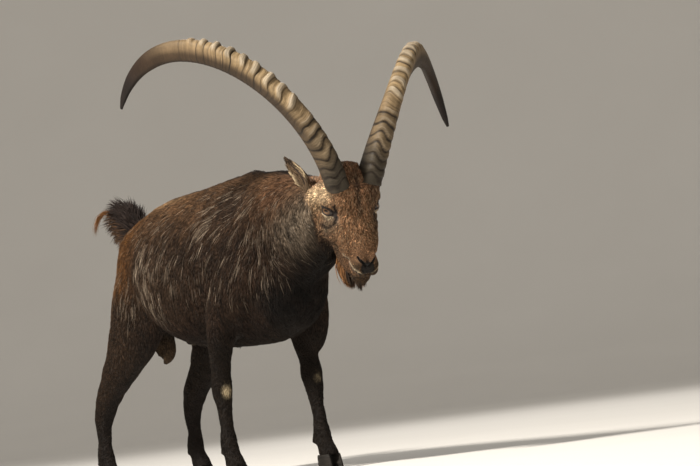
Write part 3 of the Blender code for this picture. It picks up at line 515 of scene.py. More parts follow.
class Graph:
    """A material's nodes, built by expressions."""

    def __init__(self, name: str, roughness: float, **constants: float) -> None:
        """Makes a material.

        Args:
            name: The material's name.
            roughness: Its roughness where nothing varies it.
            constants: Other inputs of the shader, with underscores for spaces.
        """
        self.material = bpy.data.materials.new(name)
        self.material.use_nodes = True
        self.tree = self.material.node_tree
        self.shader = self.tree.nodes["Principled BSDF"]
        self.shader.inputs["Roughness"].default_value = roughness
        for key, value in constants.items():
            self.shader.inputs[key.replace("_", " ")].default_value = value

    def node(self, kind: str, settings: Dict[str, Any], inputs: Any, output: Any = 0) -> Value:
        """Adds a node.

        Args:
            kind: The node's type.
            settings: Properties set before its sockets.
            inputs: Values or links, as a list in order or a dict by name or place.
            output: Which output is wanted.

        Returns:
            The wanted output.
        """
        made = self.tree.nodes.new(kind)
        for key, value in settings.items():
            setattr(made, key, value)
        pairs = inputs.items() if isinstance(inputs, dict) else enumerate(inputs)
        for key, value in pairs:
            if isinstance(value, Value):
                self.tree.links.new(value.socket, made.inputs[key])
            elif value is not None:
                made.inputs[key].default_value = value
        return Value(self, made.outputs[output])

    def place(self) -> Value:
        """The Object coordinates."""
        return self.node("ShaderNodeTexCoord", {}, [], "Object")

    def attribute(self, name: str, output: str = "Color") -> Value:
        """A colour, vector or number stored on the mesh."""
        return self.node("ShaderNodeAttribute", {"attribute_name": name}, [], output)

    def uv(self, name: str) -> Value:
        """One of the mesh's UV maps."""
        return self.node("ShaderNodeUVMap", {"uv_map": name}, [])

    def mapped(self, vector: Value, scale: Sequence[float]) -> Value:
        """A vector that is stretched."""
        return self.node("ShaderNodeMapping", {}, {"Vector": vector, "Scale": scale})

    def noise(self, vector: Value, scale: float, detail: float = 3.0, roughness: float = 0.55) -> Value:
        """Noise between 0 and 1."""
        inputs = {"Vector": vector, "Scale": scale, "Detail": detail, "Roughness": roughness}
        return self.node("ShaderNodeTexNoise", {}, inputs, "Fac")

    def mix(self, first: Any, second: Any, factor: Any, kind: str = "MIX") -> Value:
        """Mixes two colours."""
        settings = {"data_type": "RGBA", "blend_type": kind}
        return self.node("ShaderNodeMix", settings, {0: factor, 6: first, 7: second}, 2)

    def shade(self, colour: Any, by: Value) -> Value:
        """Multiplies a colour by a number."""
        grey = self.node("ShaderNodeCombineColor", {}, [by, by, by])
        return self.mix(colour, grey, 1.0, "MULTIPLY")

    def feed(self, **sockets: Value) -> None:
        """Links values to the shader's inputs, with underscores for spaces."""
        for key, value in sockets.items():
            self.tree.links.new(value.socket, self.shader.inputs[key.replace("_", " ")])

    def bump(self, height: Value, distance: float, strength: float = 1.0) -> None:
        """Feeds the shader a bump from a height."""
        inputs = {"Height": height, "Distance": distance, "Strength": strength}
        self.feed(Normal=self.node("ShaderNodeBump", {}, inputs))


def dress(thing: bpy.types.Object, material: bpy.types.Material) -> None:
    """Gives an object one material."""
    thing.data.materials.clear()
    thing.data.materials.append(material)


# Finishes


@dataclass(frozen=True)
class HairFinish:
    """Hair in tufts: the tuft's colour, with painted shade towards the root, deep in the coat, and finer
    hairs across it.
    """

    name: str = "coat_hair"
    roughness: float = 0.66
    root: float = 0.42
    tip: float = 1.30

    def material(self) -> bpy.types.Material:
        """Builds the material."""
        g = Graph(self.name, self.roughness, Specular_IOR_Level=0.14)
        marking = g.attribute("marking")
        along = g.attribute("along", "Fac")
        hairs = g.noise(g.mapped(g.uv("Strand"), (14.0, 1.6, 1.0)), 1.0, 2.0)
        # painted shade: each tuft is darker at its root, deep in the coat, and lighter at its tip
        light = (along * (self.tip - self.root) + self.root) * (hairs * 0.9 + 0.55)
        g.feed(Base_Color=g.shade(marking, light))
        g.feed(Roughness=hairs * 0.20 + (self.roughness - 0.10))
        return g.material


@dataclass(frozen=True)
class SkinFinish:
    """Skin under the coat, with its markings, short flat hair as bump, and moist places."""

    name: str = "skin"
    roughness: float = 0.75

    def material(self) -> bpy.types.Material:
        """Builds the material."""
        g = Graph(self.name, self.roughness, Specular_IOR_Level=0.25)
        marking = g.attribute("marking")
        moist = g.attribute("moist", "Fac")
        fine = g.noise(g.place(), 900.0, 3.0)
        coarse = g.noise(g.place(), 140.0, 2.0)
        g.feed(Base_Color=g.shade(marking, fine * 0.7 + coarse * 0.4 + 0.42))
        g.feed(Roughness=0.80 - moist * 0.42 + fine * 0.12)
        g.bump(fine * 0.6 + coarse * 0.4, 0.0012, 0.7)
        return g.material


@dataclass(frozen=True)
class HornFinish:
    """Dry horn: its painted colours and shade, with fine striations round it and long cracks along it."""

    name: str = "horn"
    roughness: float = 0.55

    def material(self) -> bpy.types.Material:
        """Builds the material."""
        g = Graph(self.name, self.roughness, Specular_IOR_Level=0.18)
        marking = g.attribute("marking")
        uv = g.uv("Growth")
        rings = g.noise(g.mapped(uv, (2.2, 210.0, 1.0)), 1.0, 3.0, 0.6)
        flakes = g.noise(g.mapped(uv, (9.0, 60.0, 1.0)), 1.0, 4.0, 0.65)
        fibres = g.noise(g.mapped(uv, (60.0, 9.0, 1.0)), 1.0, 2.0)
        grain = g.noise(g.place(), 420.0, 3.0)
        tone = rings * 0.65 + flakes * 0.60 + fibres * 0.22 + grain * 0.25 + 0.14
        g.feed(Base_Color=g.shade(marking, tone))
        g.feed(Roughness=flakes * 0.30 + 0.42)
        g.bump(rings * 0.6 + flakes * 0.5 + fibres * 0.2 + grain * 0.15, 0.0016, 0.8)
        return g.material


@dataclass(frozen=True)
class HoofFinish:
    """Dull dark horn of the claws, scuffed paler at the sole, with growth rings."""

    name: str = "hoof"
    roughness: float = 0.5

    def material(self) -> bpy.types.Material:
        """Builds the material."""
        g = Graph(self.name, self.roughness, Specular_IOR_Level=0.14)
        place = g.place()
        rings = g.noise(g.mapped(place, (30.0, 30.0, 420.0)), 1.0, 3.0)
        scuff = g.noise(place, 160.0, 4.0, 0.65)
        low = g.node("ShaderNodeSeparateXYZ", {}, [place], 2)
        worn = (1.0 - low.between(0.0, 0.010)) * scuff.between(0.48, 0.66)
        dark = g.mix((0.008, 0.007, 0.006, 1), (0.026, 0.021, 0.017, 1), rings.between(0.35, 0.7))
        g.feed(Base_Color=g.mix(dark, (0.065, 0.053, 0.040, 1), worn))
        g.feed(Roughness=scuff * 0.30 + 0.50)
        g.bump(rings * 0.7 + scuff * 0.3, 0.0010, 0.7)
        return g.material


@dataclass(frozen=True)
class LidFinish:
    """Dark hairless rims of the lids, moist towards the eye."""

    name: str = "lid"
    colour: Colour = (0.010, 0.007, 0.006)
    roughness: float = 0.55

    def material(self) -> bpy.types.Material:
        """Builds the material."""
        g = Graph(self.name, self.roughness, Specular_IOR_Level=0.15)
        fine = g.noise(g.place(), 1300.0, 3.0)
        pale = tuple(c * 2.4 for c in self.colour)
        g.feed(Base_Color=g.mix((*self.colour, 1), (*pale, 1), fine.between(0.4, 0.7)))
        g.feed(Roughness=fine * 0.3 + 0.42)
        g.bump(fine, 0.0006, 0.6)
        return g.material


@dataclass(frozen=True)
class EyeFinish:
    """An amber-brown eye with a level dark slit for a pupil."""

    name: str
    centre: Place
    out: Place
    slit: Place
    upright: Place

    def material(self) -> bpy.types.Material:
        """Builds the material."""
        g = Graph(self.name, 0.06, Coat_Weight=0.35, Coat_Roughness=0.04, IOR=1.38)
        offset = g.node("ShaderNodeVectorMath", {"operation": "SUBTRACT"}, [g.place(), self.centre])

        def along(way: Place) -> Value:
            """How far a place lies along a direction from the eye's middle."""
            return g.node("ShaderNodeVectorMath", {"operation": "DOT_PRODUCT"}, [offset, way], "Value")

        x, y, z = along(self.slit), along(self.upright), along(self.out)
        around = (x * x + y * y) ** 0.5
        angle = g.node("ShaderNodeMath", {"operation": "ARCTAN2"}, [y, x])
        vector = g.node("ShaderNodeCombineXYZ", {}, [angle * 9.0, around * 260.0, 0.0])
        rays = g.noise(vector, 1.0, 3.0)
        iris = g.mix((0.055, 0.025, 0.010, 1), (0.160, 0.082, 0.030, 1), rays.between(0.35, 0.7))
        iris = g.mix(iris, (0.045, 0.022, 0.010, 1), around.between(0.0085, 0.0112))
        white = g.mix(iris, (0.020, 0.013, 0.010, 1), around.between(0.0110, 0.0122))
        pupil = 1.0 - ((x / 0.0072) ** 2.0 + ((y - 0.0006) / 0.0027) ** 2.0).between(0.75, 1.15)
        front = z.between(0.0, 0.002)
        g.feed(Base_Color=g.mix(white, (0.003, 0.003, 0.004, 1), pupil * front))
        g.feed(Roughness=rays * 0.05 + 0.04)
        return g.material


@dataclass(frozen=True)
class FloorFinish:
    """A plain pale matt floor."""

    name: str = "floor"

    def material(self) -> bpy.types.Material:
        """Builds the material."""
        g = Graph(self.name, 0.9, Specular_IOR_Level=0.2)
        soft = g.noise(g.place(), 1.3, 2.0)
        g.feed(Base_Color=g.mix((0.66, 0.64, 0.61, 1), (0.70, 0.68, 0.65, 1), soft))
        return g.material


# Markings, painted light and shade, lie and length of the coat


# the dark top of the shoulder, the neck's brown and pale patches, and a painted sheen as a grey patch on
# the neck's side, seen from the side
SIDE_PATCHES_AND_SHEEN = (
    Patch((0.034, 0.020, 0.013), 0.80, (0.00, 0.755), (0.14, 0.075)),
    Patch((0.125, 0.060, 0.030), 0.80, (0.21, 0.755), (0.080, 0.055)),
    # a painted sheen: the grey patch on the side of the neck
    Patch((0.130, 0.100, 0.072), 1.10, (0.290, 0.655), (0.085, 0.070)),
    Patch((0.220, 0.170, 0.122), 0.80, (0.345, 0.695), (0.045, 0.040)),
)
# the tip of the sheath and the fur between the thighs
BELLY_PATCHES = (
    Patch((0.26, 0.20, 0.125), 1.0, (-0.440, 0.0, 0.380), (0.026, 0.020, 0.018)),
    Patch((0.095, 0.060, 0.032), 0.9, (-0.655, 0.0, 0.375), (0.05, 0.045, 0.050)),
)
# the brow and the temple are the palest fur of the face, and the cheek below them is grey and then dark
FACE_PATCHES = (
    Patch((0.40, 0.290, 0.180), 1.60, (0.026, 0.072, -0.026), (0.020, 0.028, 0.030)),
    Patch((0.46, 0.335, 0.205), 1.50, (0.018, 0.080, -0.070), (0.020, 0.032, 0.030)),
    Patch((0.30, 0.215, 0.130), 0.90, (0.045, 0.083, -0.080), (0.020, 0.020, 0.024)),
    Patch((0.120, 0.090, 0.064), 0.95, (0.105, 0.076, -0.066), (0.026, 0.026, 0.030)),
    Patch((0.150, 0.115, 0.080), 0.70, (0.098, 0.056, -0.036), (0.016, 0.016, 0.014)),
    Patch((0.060, 0.034, 0.019), 1.00, (0.162, 0.052, -0.085), (0.055, 0.036, 0.045)),
)
# the muzzle is dark olive at its side and paler above the nose
MUZZLE_PATCHES = (
    Patch((0.040, 0.024, 0.011), 1.50, (0.227, 0.022, -0.023), (0.020, 0.017, 0.014)),
    Patch((0.088, 0.052, 0.030), 0.80, (0.225, 0.0, 0.004), (0.024, 0.018, 0.014)),
)
# where pale streaks grow, which are painted highlights on the coat's locks, as a share, a place and its
# reach seen from the side
SHEEN_STREAK_AREAS = (
    (1.00, (-0.38, 0.575), (0.15, 0.120)),
    (0.15, (-0.52, 0.50), (0.08, 0.09)),
    (1.10, (-0.06, 0.71), (0.10, 0.10)),
    (1.20, (0.08, 0.745), (0.09, 0.065)),
    (0.80, (0.08, 0.60), (0.12, 0.10)),
    (0.80, (0.24, 0.66), (0.09, 0.08)),
)
# the callus of each carpus: its place and how bare it is
CALLUSES = (((-0.109, -0.117, 0.249), 1.3), ((-0.013, 0.115, 0.259), 0.45))
NOSE_BLACK = (0.009, 0.007, 0.006)


@dataclass
class Coat:
    """The coat's markings with painted shade, sheen and highlights, the way it lies and how long it is, all
    over the animal.
    """

    anatomy: Anatomy
    mouth: Line = (
        (0.2490, 0.000, -0.0330),
        (0.2465, 0.012, -0.0275),
        (0.2435, 0.0238, -0.0215),
        (0.2285, 0.0350, -0.0285),
        (0.2070, 0.0395, -0.0410),
        (0.1870, 0.0430, -0.0480),
    )
    nostril: Line = (
        (0.2310, 0.0045, -0.0100),
        (0.2264, 0.0080, -0.0090),
        (0.2190, 0.0140, -0.0060),
        (0.2110, 0.0195, -0.0070),
        (0.2040, 0.0235, -0.0065),
    )
    tear: Line = (
        (0.0620, 0.0560, -0.0050),
        (0.0740, 0.0545, -0.0140),
        (0.0825, 0.0530, -0.0240),
        (0.0910, 0.0510, -0.0300),
    )
    crease: Line = (
        (0.0915, 0.0502, -0.0295),
        (0.1015, 0.0548, -0.0373),
        (0.1055, 0.0630, -0.0500),
        (0.1015, 0.0700, -0.0680),
        (0.0890, 0.0745, -0.0880),
    )
    jaw: Line = (
        (0.0518, 0.1090, -0.1362),
        (0.0761, 0.1035, -0.1256),
        (0.0957, 0.0912, -0.1159),
        (0.1120, 0.0800, -0.1092),
        (0.1321, 0.0625, -0.1147),
        (0.1468, 0.0520, -0.1296),
        (0.1559, 0.0427, -0.1453),
    )
    line_rows: int = 28
    seat: Dict[str, List[Array]] = field(default_factory=dict)

    def settle(self, points: Array) -> None:
        """Lays the lines of the face on the skin, given the skin's places."""
        h = self.folded(points)
        lines = {
            "mouth": self.mouth,
            "lip": beside(self.mouth, (-0.0032, 0.001, 0.0040)),
            "under": beside(self.mouth, (0.0050, 0.0, -0.0060)),
            "nostril": self.nostril,
            "wing": beside(self.nostril, (-0.0060, 0.001, 0.0020)),
            "tear": self.tear,
            "crease": self.crease,
            "jaw": self.jaw,
        }
        for name, line in lines.items():
            rows = smooth_rows(line, self.line_rows)
            near = ((rows[:, None] - h[None]) ** 2).sum(-1).argmin(1)
            self.seat.setdefault(name, []).append(h[near])

    def off(self, name: str, points: Array) -> Array:
        """Distance in the folded head from one of the face's lines."""
        return np.min([to_line(self.folded(points), line) for line in self.seat[name]], axis=0)

    def ridge(self, name: str, points: Array, width: Any) -> Array:
        """A soft ridge along one of the face's lines."""
        return bell(self.off(name, points), width)

    def on_head(self, points: Array) -> Array:
        """How far each place belongs to the head, 0 to 1."""
        h = self.anatomy.in_head(points)
        behind = np.clip(-0.085 - h[:, 2], 0.0, 0.2)
        back = ramp(h[:, 2] - 0.35 * np.clip(h[:, 0] - 0.10, 0.0, 0.2), -0.185, -0.150)
        return back * ramp(h[:, 0], -0.10, -0.05) * ramp(np.abs(h[:, 1]) + 0.55 * behind, 0.106, 0.094)

    def folded(self, points: Array) -> Array:
        """Places in the head's axes with the right side folded onto the left."""
        h = self.anatomy.in_head(points)
        h[:, 1] = np.abs(h[:, 1])
        return h

    def bare(self, points: Array) -> Array:
        """How far a place has no hair: nose, lips' edge, lids and what the hooves cover."""
        h = self.folded(points)
        nose = ramp(self.off("nostril", points), 0.0060, 0.0046)
        nose = np.maximum(nose, blob(h, (0.234, 0.0, -0.014), (0.017, 0.016, 0.017)) > 0.38)
        lips = ramp(self.off("mouth", points), 0.0036, 0.0026)
        share, high, far = self.anatomy.opening(points)
        brow = ramp(share, 2.1, 1.9) * ramp(high, 0.0, 0.002) * (far < 0.030)
        eye = np.maximum(ramp(share, 1.60, 1.45), brow)
        a = self.anatomy.in_body(points)
        hoof = ramp(a[:, 2], 0.0415, 0.0405)
        return np.clip(np.maximum.reduce([nose, lips, eye, hoof]), 0.0, 1.0)

    def length(self, points: Array) -> Array:
        """How long the coat is."""
        a = self.anatomy.in_body(points)
        h = self.folded(points)
        head = self.on_head(points)
        body = np.full(len(a), 0.021)
        body += 0.006 * ramp(a[:, 2], 0.72, 0.80) * ramp(a[:, 0], -0.50, -0.30)
        body += 0.006 * ramp(a[:, 0], 0.05, 0.20)
        body -= 0.006 * ramp(a[:, 0], -0.50, -0.62)
        leg = 0.011 + 0.010 * ramp(a[:, 2], 0.30, 0.46)
        body = body + (leg - body) * ramp(a[:, 2], 0.46, 0.36)
        body = body + (0.0085 - body) * ramp(a[:, 2], 0.26, 0.16)
        body = body + (0.010 - body) * blob(a, (-0.655, 0.0, 0.40), (0.06, 0.05, 0.06)) ** 0.5
        body += 0.022 * blob(a, (-0.440, 0.0, 0.385), (0.030, 0.022, 0.022))
        face = 0.0105 - 0.0058 * ramp(h[:, 0], 0.11, 0.19)
        face = face + (0.0042 - face) * ramp(self.anatomy.from_eye(h), 0.046, 0.028)
        face = face - 0.0022 * ramp(h[:, 0], 0.19, 0.215) * ramp(h[:, 2], -0.060, -0.040)
        face = face + 0.009 * blob(h, (-0.040, 0.0, -0.030), (0.030, 0.022, 0.045))
        face = face + 0.006 * blob(h, (0.0, 0.0, 0.0), (0.030, 0.030, 0.030))
        face = face + 0.010 * ramp(h[:, 2], -0.11, -0.16)
        return body + (face - body) * head

    def depth(self, points: Array) -> Array:
        """How far the skin lies inside the coat's outline."""
        return 0.0005 + 0.22 * self.length(points)

    def lie(self, points: Array, normal: Array) -> Array:
        """The way the hair points, along the skin.

        Args:
            points: Places on the skin.
            normal: The skin's normals there.

        Returns:
            Unit directions in the model's axes.
        """
        a = self.anatomy.in_body(points)
        h = self.anatomy.in_head(points)
        top = ramp(a[:, 2], 0.66, 0.80)
        way = np.stack([-0.10 - 0.80 * top, np.zeros(len(a)), -1.0 + 0.55 * top], -1)
        shoulder = blob(a[:, [0, 2]], (0.00, 0.73), (0.17, 0.13))
        way[:, 0] -= 0.55 * shoulder
        croup = ramp(a[:, 0], -0.48, -0.60) * ramp(a[:, 2], 0.52, 0.64)
        way += croup[:, None] * np.array([-0.9, 0.0, 0.1])
        neck = ramp(a[:, 0], 0.08, 0.20)
        way[:, 0] += neck * (0.22 + 0.16 * (1.0 - top))
        low = ramp(a[:, 2], 0.50, 0.40) * ramp(a[:, 0], -0.52, -0.46) * ramp(a[:, 0], 0.16, 0.08)
        way[:, 0] += low * 0.30
        way[:, 1] += 0.25 * np.sign(a[:, 1]) * top
        rear = ramp(a[:, 0], -0.60, -0.70) * ramp(a[:, 2], 0.70, 0.60)
        way[:, 0] -= rear * 0.2
        body = self.anatomy.ways(way)
        flow = np.zeros((len(h), 3))
        rise = np.clip((h[:, 0] - 0.020) / 0.035, -1.0, 1.0)
        flow[:, 0] = rise
        flow[:, 1] = 0.30 * np.sign(h[:, 1]) * ramp(np.abs(h[:, 1]), 0.01, 0.04)
        flow[:, 2] = -0.45 * ramp(np.abs(h[:, 1]), 0.020, 0.045) - 0.25 * ramp(h[:, 0], 0.02, -0.03)
        chin = ramp(h[:, 2], -0.070, -0.100) * ramp(h[:, 0], 0.08, 0.14)
        flow += chin[:, None] * np.array([0.2, 0.0, -0.8])
        head = flow @ self.anatomy.head.T
        share = self.on_head(points)
        mixed = unit(body) * (1.0 - share)[:, None] + unit(head) * share[:, None]
        swirl = 0.18 * ripple(points, 0.11, 5) + 0.10 * ripple(points, 0.035, 6)
        swirl = swirl + 0.25 * ripple(points, 0.022, 8) * share
        side = np.cross(normal, mixed)
        mixed = mixed + side * swirl[:, None]
        return unit(mixed - normal * (mixed * normal).sum(1)[:, None])

    def streaks(self, points: Array) -> Array:
        """How often a tuft is a pale one, a painted highlight: on the flank, the shoulder and the side of
        the neck, in lines.
        """
        a = self.anatomy.in_body(points)
        aside = a[:, [0, 2]]
        neck = ramp(a[:, 0], 0.14, 0.24)
        slope = 0.12 + 0.50 * blob(aside, (0.02, 0.73), (0.16, 0.13)) - 0.30 * neck
        bent = a[:, 0] - (slope - 0.30 * ramp(a[:, 2], 0.52, 0.44)) * (a[:, 2] - 0.60)
        across = np.stack([bent, a[:, 1] * 0.20, a[:, 2] * 0.12], -1)
        lines = 0.75 * ripple(across, 0.0066, 21, 12) + 0.30 * ripple(across, 0.034, 22, 5)
        where = np.max([share * blob(aside, place, radii) for share, place, radii in SHEEN_STREAK_AREAS], axis=0)
        where = where * ramp(np.abs(a[:, 1]), 0.03, 0.08)
        where = where * ramp(a[:, 2] - 0.45 * (a[:, 0] - 0.10) * (a[:, 0] > 0.10), 0.46, 0.53)
        return np.clip(lines - 0.44, 0.0, 0.36) * where * ramp(a[:, 2], 0.43, 0.52)

    def body_marking(self, points: Array, normal: Array) -> Array:
        """The coat's colours on the body and the legs, with painted shade under the body and inside the
        thigh, painted light on the thigh's back edge and a painted sheen on the neck.
        """
        a = self.anatomy.in_body(points)
        f, l, u = a.T
        aside = a[:, [0, 2]]
        nf = -normal[:, 1]
        side = np.abs(l)
        patch = ripple(points, 0.085, 31)
        c = even((0.028, 0.0155, 0.009), len(a))
        c = blend(c, (0.105, 0.056, 0.027), ramp(u + 0.01 * patch, 0.62, 0.80))
        c = blend(c, (0.050, 0.031, 0.019), 0.8 * blob(aside, (-0.36, 0.60), (0.16, 0.10)))
        c = blend(c, (0.108, 0.046, 0.013), ramp(f, -0.46, -0.60) * ramp(u, 0.50, 0.62))
        c = patched(c, aside, SIDE_PATCHES_AND_SHEEN)
        # darker towards the belly: partly the underside's own dark fur, partly painted shade under the body
        low = ramp(u + 0.012 * patch, 0.50, 0.40)
        c = blend(c, (0.016, 0.009, 0.006), low * 0.95)
        # the chest and the foot of the neck go near black: partly their own dark fur, partly painted shade
        # under the neck and head
        front = ramp(f, 0.02, 0.12) * ramp(u - 0.45 * (f - 0.10), 0.57, 0.46)
        c = blend(c, (0.006, 0.004, 0.003), front)
        leg = ramp(u, 0.44, 0.36)
        c = blend(c, (0.012, 0.008, 0.0055), leg)
        hind = ramp(f, -0.46, -0.56) * ramp(u, 0.58, 0.50)
        c = blend(c, (0.028, 0.016, 0.009), 0.85 * hind * ramp(side, 0.07, 0.13) * ramp(u, 0.16, 0.30))
        # painted shade: the hind quarter is darkened where it faces forward, on the inner side of the thigh
        c = blend(c, (0.013, 0.009, 0.007), hind * ramp(nf, 0.10, 0.6) * ramp(u, 0.56, 0.50))
        # the thigh's back edge: partly rusty fur, partly painted light where it faces backwards
        rear = ramp(-nf, 0.30, 0.80) * ramp(f, -0.55, -0.62) * ramp(u, 0.30, 0.42)
        c = blend(c, (0.180, 0.080, 0.027), 0.9 * rear * ramp(side + 0.2 * ramp(u, 0.5, 0.6), 0.02, 0.08))
        stripe = bell(l, 0.020) * ramp(u, 0.70, 0.76) * ramp(normal[:, 2], 0.2, 0.6)
        c = blend(c, (0.016, 0.011, 0.009), 0.92 * stripe)
        fringe = bell(side - 0.040, 0.016) * ramp(u, 0.70, 0.76) * ramp(f, -0.25, -0.45)
        c = blend(c, (0.30, 0.19, 0.10), 0.55 * fringe * ramp(normal[:, 2], 0.2, 0.6))
        for knee, bare in CALLUSES:
            c = blend(c, (0.46, 0.37, 0.235), bare * blob(a, knee, (0.014, 0.017, 0.017)) - 0.15)
        c = patched(c, a, BELLY_PATCHES)
        mottle = 1.0 + 0.16 * ripple(points, 0.030, 33) + 0.10 * patch
        return c * mottle[:, None]

    def head_marking(self, points: Array) -> Array:
        """The coat's colours on the head, with painted shade on the far side of the face and over the upper
        lids.
        """
        h = self.folded(points)
        x, y, z = h.T
        patch = ripple(points, 0.030, 41)
        c = even((0.194, 0.104, 0.054), len(h))
        c = blend(c, (0.220, 0.116, 0.063), ramp(x, 0.060, 0.010))
        c = blend(c, (0.175, 0.075, 0.035), blob(h, (-0.045, 0.0, -0.030), (0.035, 0.030, 0.045)) * 1.2)
        median = bell(y, 0.0070) * ramp(x, -0.01, 0.01) * ramp(x, 0.105, 0.070)
        c = blend(c, (0.040, 0.026, 0.018), 0.85 * median)
        c = patched(c, h, FACE_PATCHES)
        # painted shade: the far side of the face, turned away from the light, is darkened
        far_side_shade = ramp(self.anatomy.in_head(points)[:, 1], 0.012, 0.040) * ramp(x, 0.20, 0.12)
        c = blend(c, (0.050, 0.030, 0.018), 0.75 * far_side_shade)
        edge = ramp(z + 0.25 * (y - 0.05) + 0.10 * (x - 0.10), -0.092, -0.122) * ramp(x, 0.050, 0.085)
        c = blend(c, (0.026, 0.016, 0.011), edge)
        c = blend(c, (0.012, 0.008, 0.006), ramp(z, -0.125, -0.150) * ramp(x, 0.06, 0.10))
        c = blend(c, (0.014, 0.010, 0.008), 1.15 * self.ridge("tear", points, 0.0085))
        c = blend(c, (0.018, 0.012, 0.009), 0.90 * self.ridge("crease", points, 0.0036))
        share, high, far = self.anatomy.opening(points)
        # dark round the lids: partly their own dark rims, partly painted shade of the upper lid's overhang
        over = ramp(share, 1.65, 1.30) + ramp(share, 2.75, 2.35) * ramp(high, 0.0, 0.0020)
        over = np.clip(over, 0.0, 1.0) * ramp(far, 0.030, 0.026)
        c = blend(c, (0.015, 0.011, 0.009), over)
        pale = ramp(share, 1.30, 1.45) * ramp(share, 2.45, 2.10) * ramp(high, 0.0, -0.003)
        c = blend(c, (0.36, 0.285, 0.195), 0.95 * (pale * ramp(far, 0.0260, 0.0225)))
        band = ramp(share, 2.6, 2.85) * ramp(share, 3.8, 3.3) * ramp(high, 0.004, 0.008)
        c = blend(c, (0.50, 0.39, 0.27), 0.85 * (band * ramp(far, 0.032, 0.027)))
        c = patched(c, h, MUZZLE_PATCHES)
        rim = self.ridge("lip", points, 0.0024 + 0.0016 * ramp(x, 0.225, 0.200)) * ramp(y, 0.004, 0.012)
        c = blend(c, (0.060, 0.036, 0.020), ramp(x - 0.25 * (z + 0.03), 0.232, 0.252))
        c = blend(c, (0.024, 0.015, 0.009), 1.4 * blob(h, (0.240, 0.0, -0.090), (0.030, 0.040, 0.030)))
        c = blend(c, (0.40, 0.32, 0.22), 0.95 * rim)
        c = blend(c, NOSE_BLACK, self.ridge("mouth", points, 0.0026))
        pad = ramp(blob(h, (0.234, 0.0, -0.013), (0.024, 0.023, 0.021)), 0.35, 0.60)
        nostril = self.off("nostril", points)
        c = blend(c, NOSE_BLACK, np.maximum(pad, ramp(nostril, 0.0052, 0.0038)))
        c = blend(c, (0.0015, 0.0012, 0.001), ramp(nostril, 0.0046, 0.0032))
        curl = 0.48 * ripple(points, 0.0085, 42, 14) * ramp(np.abs(x - 0.2), 0.01, 0.05)
        return c * ((1.0 + 0.14 * patch) * np.exp(curl))[:, None]

    def marking(self, points: Array, normal: Array) -> Array:
        """The coat's colours everywhere, with a painted shadow along the jaw."""
        head = self.on_head(points)[:, None]
        body = self.body_marking(points, normal)
        found = body * (1.0 - head) + self.head_marking(points) * head
        # painted shadow: a dark band along the jaw, where the cheek shades the neck
        found = blend(found, (0.016, 0.011, 0.008), 0.8 * self.ridge("jaw", points, 0.0090))
        return np.clip(found, 0.0015, 0.9)

    def unwrap(self, points: Array) -> Array:
        """A place on a flat map for each place on the skin, with fields for body, head and each leg."""
        a = self.anatomy.in_body(points)
        h = self.anatomy.in_head(points)
        turn = np.arctan2(a[:, 1], a[:, 2] - 0.60) / (2 * math.pi) + 0.5
        found = np.stack([0.01 + 0.97 * turn, 0.01 + 0.58 * (a[:, 0] + 0.75) / 1.2], -1)
        head = self.on_head(points) > 0.5
        around = np.arctan2(h[:, 1], h[:, 2] + 0.085) / (2 * math.pi) + 0.5
        on_face = np.stack([0.01 + 0.47 * around, 0.62 + 0.36 * (h[:, 0] + 0.08) / 0.36], -1)
        found[head] = on_face[head]
        corners = ((-0.110, -0.117), (-0.050, 0.115), (-0.72, -0.135), (-0.67, 0.112))
        for n, (forward, left) in enumerate(corners):
            near = (a[:, 2] < 0.36) & (np.abs(a[:, 1] - left) < 0.10) & (np.abs(a[:, 0] - forward) < 0.22)
            bend = forward + (a[:, 2] - 0.20) * (0.45 if n > 1 else 0.0)
            angle = np.arctan2(a[:, 1] - left, a[:, 0] - bend) / (2 * math.pi) + 0.5
            field_u = 0.50 + 0.24 * (n % 2) + 0.22 * angle
            field_v = 0.62 + 0.19 * (n // 2) + 0.17 * a[:, 2] / 0.36
            found[near] = np.stack([field_u, field_v], -1)[near]
        return np.clip(found, 0.003, 0.997)


# The skin


@dataclass(frozen=True)
class Lump:
    """A soft egg of flesh under the skin, on both sides where it lies off the middle."""

    place: Place
    radii: Place
    lean: float = 0.0
    on_head: bool = True
    sides: Tuple[int, ...] = (-1, 1)


LUMPS = (
    Lump((0.162, 0.019, -0.096), (0.078, 0.030, 0.029), -19.0),
    Lump((0.098, 0.042, -0.074), (0.056, 0.033, 0.046)),
    Lump((0.236, 0.000, -0.072), (0.034, 0.029, 0.026), -14.0, sides=(1,)),
    Lump((0.218, 0.018, -0.036), (0.040, 0.020, 0.027)),
    Lump((0.130, 0.032, -0.046), (0.070, 0.026, 0.036)),
    Lump((0.044, 0.057, -0.040), (0.033, 0.027, 0.031)),
    Lump((0.020, 0.056, -0.076), (0.040, 0.028, 0.045)),
    Lump((0.0675, 0.0595, -0.048), (0.0215, 0.0215, 0.0215)),
    Lump((0.018, 0.068, -0.112), (0.034, 0.034, 0.034)),
    Lump((0.078, 0.054, -0.122), (0.062, 0.037, 0.040)),
    Lump((0.034, 0.036, -0.006), (0.058, 0.032, 0.036), 16.0),
    Lump((0.045, 0.000, -0.006), (0.066, 0.040, 0.031), 15.0, sides=(1,)),
    Lump((-0.085, 0.130, 0.415), (0.040, 0.040, 0.105), 22.0, False, (-1,)),
    Lump((-0.010, 0.126, 0.415), (0.040, 0.038, 0.105), 18.0, False, (1,)),
)
# how far forward and left each pair of dewclaws is
DEWCLAWS = ((-0.166, -0.116), (-0.060, 0.115), (-0.850, -0.138), (-0.768, 0.112))


